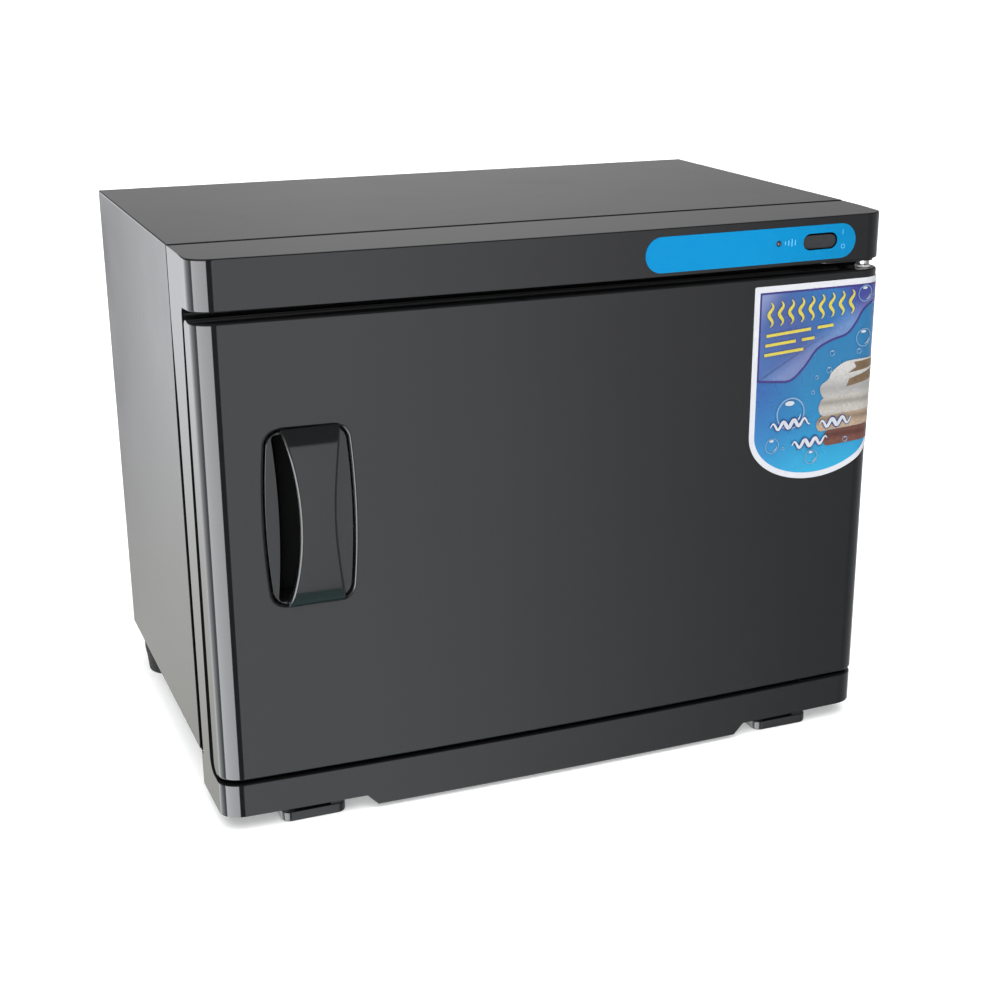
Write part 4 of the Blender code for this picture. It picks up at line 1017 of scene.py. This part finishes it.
def stroke(points, width, taper=False):
    """A line of even or tapering width as four-sided shapes."""
    left, right = [], []
    count = len(points) - 1
    for i, (u, v) in enumerate(points):
        (ua, va), (ub, vb) = points[max(i - 1, 0)], points[min(i + 1, count)]
        size = math.hypot(ub - ua, vb - va)
        half = width / 2 * (math.sin(math.pi * (0.08 + 0.84 * i / count)) if taper else 1)
        nu, nv = -(vb - va) / size * half, (ub - ua) / size * half
        left.append((u + nu, v + nv))
        right.append((u - nu, v - nv))
    return [[left[i], right[i], right[i + 1], left[i + 1]] for i in range(count)]


def curve_through(points, steps=8):
    """A Catmull-Rom curve through flat points."""
    pts = [Vector(p) for p in points]
    pts = [2 * pts[0] - pts[1]] + pts + [2 * pts[-1] - pts[-2]]
    path = []
    for i in range(1, len(pts) - 2):
        a, b, c, d = pts[i - 1:i + 3]
        for t in (k / steps for k in range(steps)):
            bent = 2 * b + (c - a) * t + (2 * a - 5 * b + 4 * c - d) * t * t
            path.append(tuple(0.5 * (bent + (3 * b - a - 3 * c + d) * t ** 3)))
    return path + [tuple(pts[-2])]


def label_outline(inset):
    """The label's shape: straight sides over a half ellipse."""
    u0, u1, top = LABEL_U0 + inset, LABEL_U1 - inset, LABEL_TOP - inset
    mid, half, deep = (u0 + u1) / 2, (u1 - u0) / 2, LABEL_DEEP - inset
    bowl = [(mid - half * math.cos(a), LABEL_TURN - deep * math.sin(a)) for a in
            (math.pi * i / 40 for i in range(1, 40))]
    return [(u0 + 0.8, top), (u0, top - 0.8), (u0, LABEL_TURN)] + bowl + [(u1, LABEL_TURN), (u1, top)]


def towel(u0, u1, v0, v1):
    """A folded towel that leans a little, seen on its rounded fold."""
    r, lean = (v1 - v0) / 2, 0.05
    fold = [(u0 + r * 0.8 - r * 0.8 * math.cos(a), (v0 + v1) / 2 - r * math.sin(a)) for a in
            (-math.pi / 2 + math.pi * i / 12 for i in range(13))]
    return [(u, v + lean * (u - u0)) for u, v in fold + [(u1, v0), (u1, v1)]]


def bubbles(u0):
    """Rings, and the pale patch and curved glint inside each."""
    rings, glints = [], []
    for du, v, r in ((77.5, 301.3, 5.4), (78.5, 272.2, 6.0), (75.3, 263.4, 1.9), (54.6, 264, 2.0),
                     (53, 253, 2.2), (43.6, 249, 1.5), (41.4, 239.2, 1.5), (25, 226.9, 10.4),
                     (12, 206.5, 5.1), (42.5, 195.6, 4.9), (20.5, 204, 1.2), (68.5, 204.8, 1.9)):
        u = u0 + du
        around = circle(u, v, r - 0.2, 28)
        rings += stroke(around + around[:1], max(0.35, r * 0.1))
        glints.append([(u + (a - u) * 0.34 - 0.1 * r, v + (b - v) * 0.16 + 0.66 * r) for a, b in around[::2]])
        glints += stroke(arc(u, v, 0.74 * r, -80, -8, 8), r * 0.09, True)
    return rings, glints


def steam_marks(u0):
    """A generic row of steam curls over three ruled lines, in place of the printed words."""
    marks, lean = [], 0.06
    for i in range(9):
        u = u0 + 6.5 + 7.6 * i
        low = 285.0 + lean * (u - u0)
        curl = [(u + 1.5 * math.sin(3 * math.pi * t / 18), low + 15.5 * t / 18) for t in range(19)]
        marks += stroke(curl, 2.3, True)
    for row, parts in enumerate((((4, 37), (42, 54)), ((3.5, 26), (30.5, 40)), ((3, 32),))):
        v = 279.5 - 6.2 * row
        for a, b in parts:
            marks += stroke([(u0 + a, v + lean * a), (u0 + b, v + lean * b)], 1.9)
    return marks


def waves(u0, width):
    """Three generic ripples, in place of the printed words across the lower part."""
    shapes = []
    for start, stop, v in ((10, 40, 219.0), (47.5, 72, 217.0), (27, 54, 205.0)):
        along = [(stop - start) * i / 40 for i in range(41)]
        line = [(u0 + start + u, v + 2.3 * math.sin(u * 0.8) + 0.06 * u) for u in along]
        shapes += stroke(line, width, True)
    return shapes


def build_label():
    """The printed film in layers: sky, panel with its violet edge, towels, bubbles, steam and ripples."""
    border, step = 0.12, 0.06
    sheet = film("door_label", [label_outline(0)], 0.1, border, "label_white", "door")
    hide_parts("door_label")
    u0, u1, top = LABEL_U0 + 5.2, LABEL_U1 - 4.2, LABEL_TOP - 5.2
    right, edge, folds = u1 - 1.5, u1 - 1.2, u0 + 46
    divider = curve_through([(u0 - 1.3, 250.8), (u0 + 12, 249.2), (u0 + 24, 249.1), (u0 + 34, 257.2),
                             (u0 + 42.7, 267.6), (u0 + 53.7, 272.7), (u0 + 65, 275.7), (u0 + 71.5, 282.2),
                             (u0 + 78, 291.7), (right, 297)])
    roll = curve_through([(folds + 3.4, 234.6), (folds + 0.9, 239.3), (folds + 1.3, 243.3),
                          (folds + 6.8, 246.9), (folds + 8.9, 251), (folds + 14.5, 255.2),
                          (folds + 22.4, 257.8), (edge, 258.4)], 6)
    ribbon = [[(folds + 22, 249.5), (folds + 28, 253), (folds + 26, 256.5), (edge, 257.4), (edge, 252)],
              [(folds + 21, 240.5), (folds + 23, 245.5), (folds + 30, 247.5), (edge, 251), (edge, 244)]]
    rings, glints = bubbles(u0)
    layers = (("art", [label_outline(3.9)], "sky"),
              ("violet_line", [divider + [(right, top + 1.3), (u0 - 1.3, top + 1.3)]], "violet"),
              ("panel", [divider + [(right, top), (u0, top), (u0, 250.6)]], "panel"),
              ("divider", stroke(divider, 1.5), "violet"),
              ("towel_brown", [towel(folds + 5, u1 - 2, 201.5, 211.8)], "brown"),
              ("towel_tan", [towel(folds - 0.5, edge, 211.8, 222.0)], "tan"),
              ("towel_cream", [towel(folds + 0.4, edge, 222.0, 234.4)], "cream"),
              ("towel_white", [roll + [(edge, 236.3)]], "white_towel"),
              ("ribbon", ribbon, "ribbon"), ("bubbles", rings, "bubble"), ("glints", glints, "glint"),
              ("steam", steam_marks(u0), "yellow"), ("wave_shadow", waves(u0, 4.2), "violet"),
              ("waves", waves(u0, 2.6), "glint"))
    level = 0.1 + border
    for name, shapes, ink in layers:
        film("label_" + name, shapes, level, step, "ink_" + ink, "door")
        level += step + 0.01


def build_marks():
    """Faint symbols beside the switch and the lamp, with no words."""
    around = circle(SWITCH_X + 17.0, SWITCH_Z - 4.2, 1.3)
    shapes = stroke(around + around[:1], 0.4)
    shapes += stroke([(SWITCH_X + 16.4, SWITCH_Z + 3.4), (SWITCH_X + 16.4, SWITCH_Z + 6.6)], 0.45)
    for i, size in enumerate((1.0, 1.7, 2.3, 1.7)):
        u = LAMP_X + 4.6 + 2.4 * i
        shapes += stroke([(u, LAMP_Z - size), (u, LAMP_Z + size)], 0.7)
    film("control_marks", shapes, 0.56, 0.04, "ink_faint", "cabinet")


# ---- printed finishes

def printed(name, build, rough=0.22, **sockets):
    """Ink under a clear film. build(nodes) gives its colour."""
    mat, n, shader = new_material(name)
    gloss = n.span(n.noise(60.0, 3.0), 0.3, 0.7, rough, rough + 0.08)
    n.fill(shader, Base_Color=build(n), Roughness=gloss, **sockets)
    return mat


def plain_ink(name, colour, drift=0.9):
    return printed(name, lambda n: n.mix(n.noise(90.0, 3.0), tuple(c * drift for c in colour), colour))


def sky_ink(n):
    """Blue that darkens upwards, with a different blend on the left and on the right."""
    left, right = (n.ramp(n.span(n.axes()[2], 182 * MM, 300 * MM), stops) for stops in (
        [(0.0, (0.015, 0.25, 0.47)), (0.25, (0.02, 0.15, 0.36)), (0.5, (0.02, 0.09, 0.28)),
         (1.0, (0.03, 0.085, 0.27))],
        [(0.0, (0.015, 0.3, 0.5)), (0.3, (0.01, 0.17, 0.36)), (0.6, (0.015, 0.14, 0.3)),
         (1.0, (0.015, 0.125, 0.29))]))
    return n.mix(n.span(n.axes()[0], 132 * MM, 176 * MM, smooth=True), left, right)


def panel_ink(n):
    """Bands of blue and violet across the panel, pale at its upper left corner and along its lower edge."""
    x, _, z = n.axes()
    across = n.span(n.plus(x, n.times(z, 0.6)), 0.29, 0.41)
    base = n.ramp(across, [(0.0, (0.045, 0.105, 0.28)), (0.3, (0.045, 0.075, 0.23)),
                           (0.52, (0.02, 0.1, 0.28)), (0.68, (0.018, 0.12, 0.32)),
                           (0.8, (0.035, 0.04, 0.21)), (1.0, (0.035, 0.045, 0.22))])
    corner = n.plus(n.minus(x, 0.1325), n.times(n.minus(0.3072, z), 0.8))
    pale = n.span(corner, 0.0, 0.024, 0.5, 0.0, smooth=True)
    lower = n.span(n.minus(z, n.times(x, 0.62)), 0.156, 0.172, 0.3, 0.0, smooth=True)
    return n.mix(n.math("MAXIMUM", pale, lower), base, (0.3, 0.34, 0.5))


def towel_ink(name, dark, light, row=0.011):
    """Terry cloth in print: mottled rows of pile, darker between them."""
    def build(n):
        shade = n.math("ABSOLUTE", n.math("SINE", n.times(n.axes()[2], math.pi / row)))
        return n.mix(n.span(n.times(n.noise(700.0, 4.0), shade), 0.05, 0.55), dark, light)

    return printed(name, build)


def overlay_ink(n):
    """The control strip's blue, a little darker to the right and lightly mottled."""
    glow = n.span(n.axes()[0], 0.05, 0.2)
    base = n.ramp(glow, [(0.0, (0.0, 0.19, 0.43)), (0.5, (0.0, 0.195, 0.43)), (1.0, (0.0, 0.165, 0.36))])
    return n.mix(n.span(n.noise(260.0), 0.35, 0.65, 0.0, 0.06), base, (0.02, 0.26, 0.5))


# ---- materials

M = {
    "gloss": moulded("black_gloss_moulding", (0.007, 0.0075, 0.008), (0.0095, 0.0095, 0.01), (0.03, 0.06)),
    "paint": finish("black_enamel", (0.011, 0.011, 0.012), (0.016, 0.016, 0.017), (0.10, 0.16), (5.0, 3.0),
                    (20.0, 5.0), (260.0, 1.0), 0.00002),
    "dark": matt("dark_satin_plastic", (0.012, 0.012, 0.013), (0.02, 0.02, 0.021), (0.35, 0.5), 1500.0,
                 0.00002),
    "rocker": moulded("rocker_plastic", (0.016, 0.017, 0.018), (0.024, 0.025, 0.026), (0.22, 0.3)),
    "rubber": matt("black_rubber", (0.007, 0.007, 0.007), (0.012, 0.012, 0.0115), Specular_IOR_Level=0.15),
    "foot": moulded("foot_moulding", (0.008, 0.0085, 0.009), (0.012, 0.0125, 0.013), (0.14, 0.22)),
    "seal": matt("seal_rubber", (0.03, 0.03, 0.031), (0.045, 0.045, 0.045), (0.45, 0.6), 500.0, 0.00003),
    "aluminium": metal("rolled_aluminium", (0.62, 0.63, 0.64), (0.74, 0.74, 0.75), (0.3, 0.36), 900.0,
                       (1, 1, 0.04), 0.000001),
    "zinc": metal("zinc_plate", (0.52, 0.53, 0.52), (0.68, 0.68, 0.65), (0.25, 0.4), 60.0),
    "black_zinc": metal("blackened_zinc", (0.03, 0.03, 0.032), (0.06, 0.06, 0.062), (0.3, 0.45), 80.0),
    "wire": metal("bright_steel_wire", (0.62, 0.62, 0.62), (0.74, 0.74, 0.74), (0.1, 0.2), 120.0),
    "foam": matt("insulation_foam", (0.66, 0.6, 0.45), (0.78, 0.73, 0.58), (0.85, 0.95), 700.0, 0.0003),
    "liner": moulded("white_liner", (0.46, 0.465, 0.46), (0.48, 0.485, 0.475), (0.27, 0.3), 0.000005),
    "nylon": moulded("hinge_nylon", (0.62, 0.62, 0.6), (0.7, 0.7, 0.68), (0.3, 0.4)),
    "silicone": matt("red_silicone", (0.42, 0.07, 0.03), (0.52, 0.1, 0.045), (0.5, 0.65), 400.0),
    "ceramic": matt("steatite", (0.72, 0.69, 0.62), (0.82, 0.8, 0.74), (0.5, 0.65), 300.0, 0.00003),
    "brown": moulded("brown_sleeve", (0.13, 0.045, 0.018), (0.18, 0.065, 0.025), (0.35, 0.45)),
    "blue_wire": moulded("blue_sleeve", (0.015, 0.06, 0.3), (0.025, 0.085, 0.4), (0.35, 0.45)),
    "lens": moulded("red_lens", (0.06, 0.026, 0.02), (0.09, 0.035, 0.025), (0.08, 0.14)),
    # painted shade: the finger well and the handle's screw holes are darker and less reflective than the
    # door's black plastic, to stand for the shade deep behind the handle
    "well": matt("finger_well_painted_shade", (0.002, 0.0022, 0.002), (0.004, 0.0045, 0.004), (0.5, 0.6), depth=0.00002,
                 Specular_IOR_Level=0.1),
    "overlay": printed("blue_film", overlay_ink, 0.16, Specular_IOR_Level=0.12),
    "label_white": plain_ink("label_white_film", (0.53, 0.54, 0.57), 0.97),
    "ink_violet": plain_ink("violet_ink", (0.035, 0.025, 0.15)),
    "ink_sky": printed("sky_ink", sky_ink),
    "ink_panel": printed("panel_ink", panel_ink),
    "ink_brown": towel_ink("brown_towel_ink", (0.075, 0.026, 0.02), (0.14, 0.052, 0.038)),
    "ink_tan": towel_ink("tan_towel_ink", (0.19, 0.14, 0.095), (0.36, 0.27, 0.19)),
    "ink_cream": towel_ink("cream_towel_ink", (0.23, 0.215, 0.195), (0.39, 0.37, 0.34)),
    "ink_white_towel": towel_ink("white_towel_ink", (0.27, 0.265, 0.26), (0.44, 0.435, 0.42), 0.03),
    "ink_ribbon": plain_ink("ribbon_ink", (0.17, 0.11, 0.06), 0.6),
    "ink_bubble": plain_ink("bubble_ink", (0.17, 0.3, 0.46), 0.8),
    "ink_glint": plain_ink("glint_ink", (0.46, 0.5, 0.54), 0.9),
    "ink_yellow": plain_ink("yellow_ink", (0.5, 0.42, 0.06)),
    "ink_faint": plain_ink("faint_ink", (0.1, 0.42, 0.7)),
}

CAD_MATERIALS = {
    "zinc": "base_plate heater_clamp striker_plate",
    "black_zinc": "hinge_plate_top hinge_plate_bottom",
    "paint": "rear_panel",
    "dark": "terminal_block magnet_catch",
    "aluminium": "rack_rail_left rack_rail_right",
    "foam": "insulation_top insulation_bottom insulation_left insulation_right insulation_rear "
            "door_insulation",
    "silicone": "heater_pad wire_to_fuse wire_fuse_to_heater",
    "ceramic": "thermostat thermal_fuse",
    "brown": "wire_to_switch wire_from_switch",
    "blue_wire": "wire_heater_return",
}


def finish_cad_nodes():
    """The pieces that stay as the CAD made them get their materials."""
    for key, names in CAD_MATERIALS.items():
        for name in names.split():
            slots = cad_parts[name].data.materials
            slots.clear()
            slots.append(M[key])


def main():
    for step in (studio_light, studio_floor, add_camera, finish_cad_nodes, build_casing, build_frame,
                 build_feet, build_screws, build_gland, build_chamber, build_rack, build_tray, build_controls,
                 build_marks, build_hinges, build_door_shell, build_liner, build_gasket, build_cup,
                 build_strap, build_label):
        step()


main()
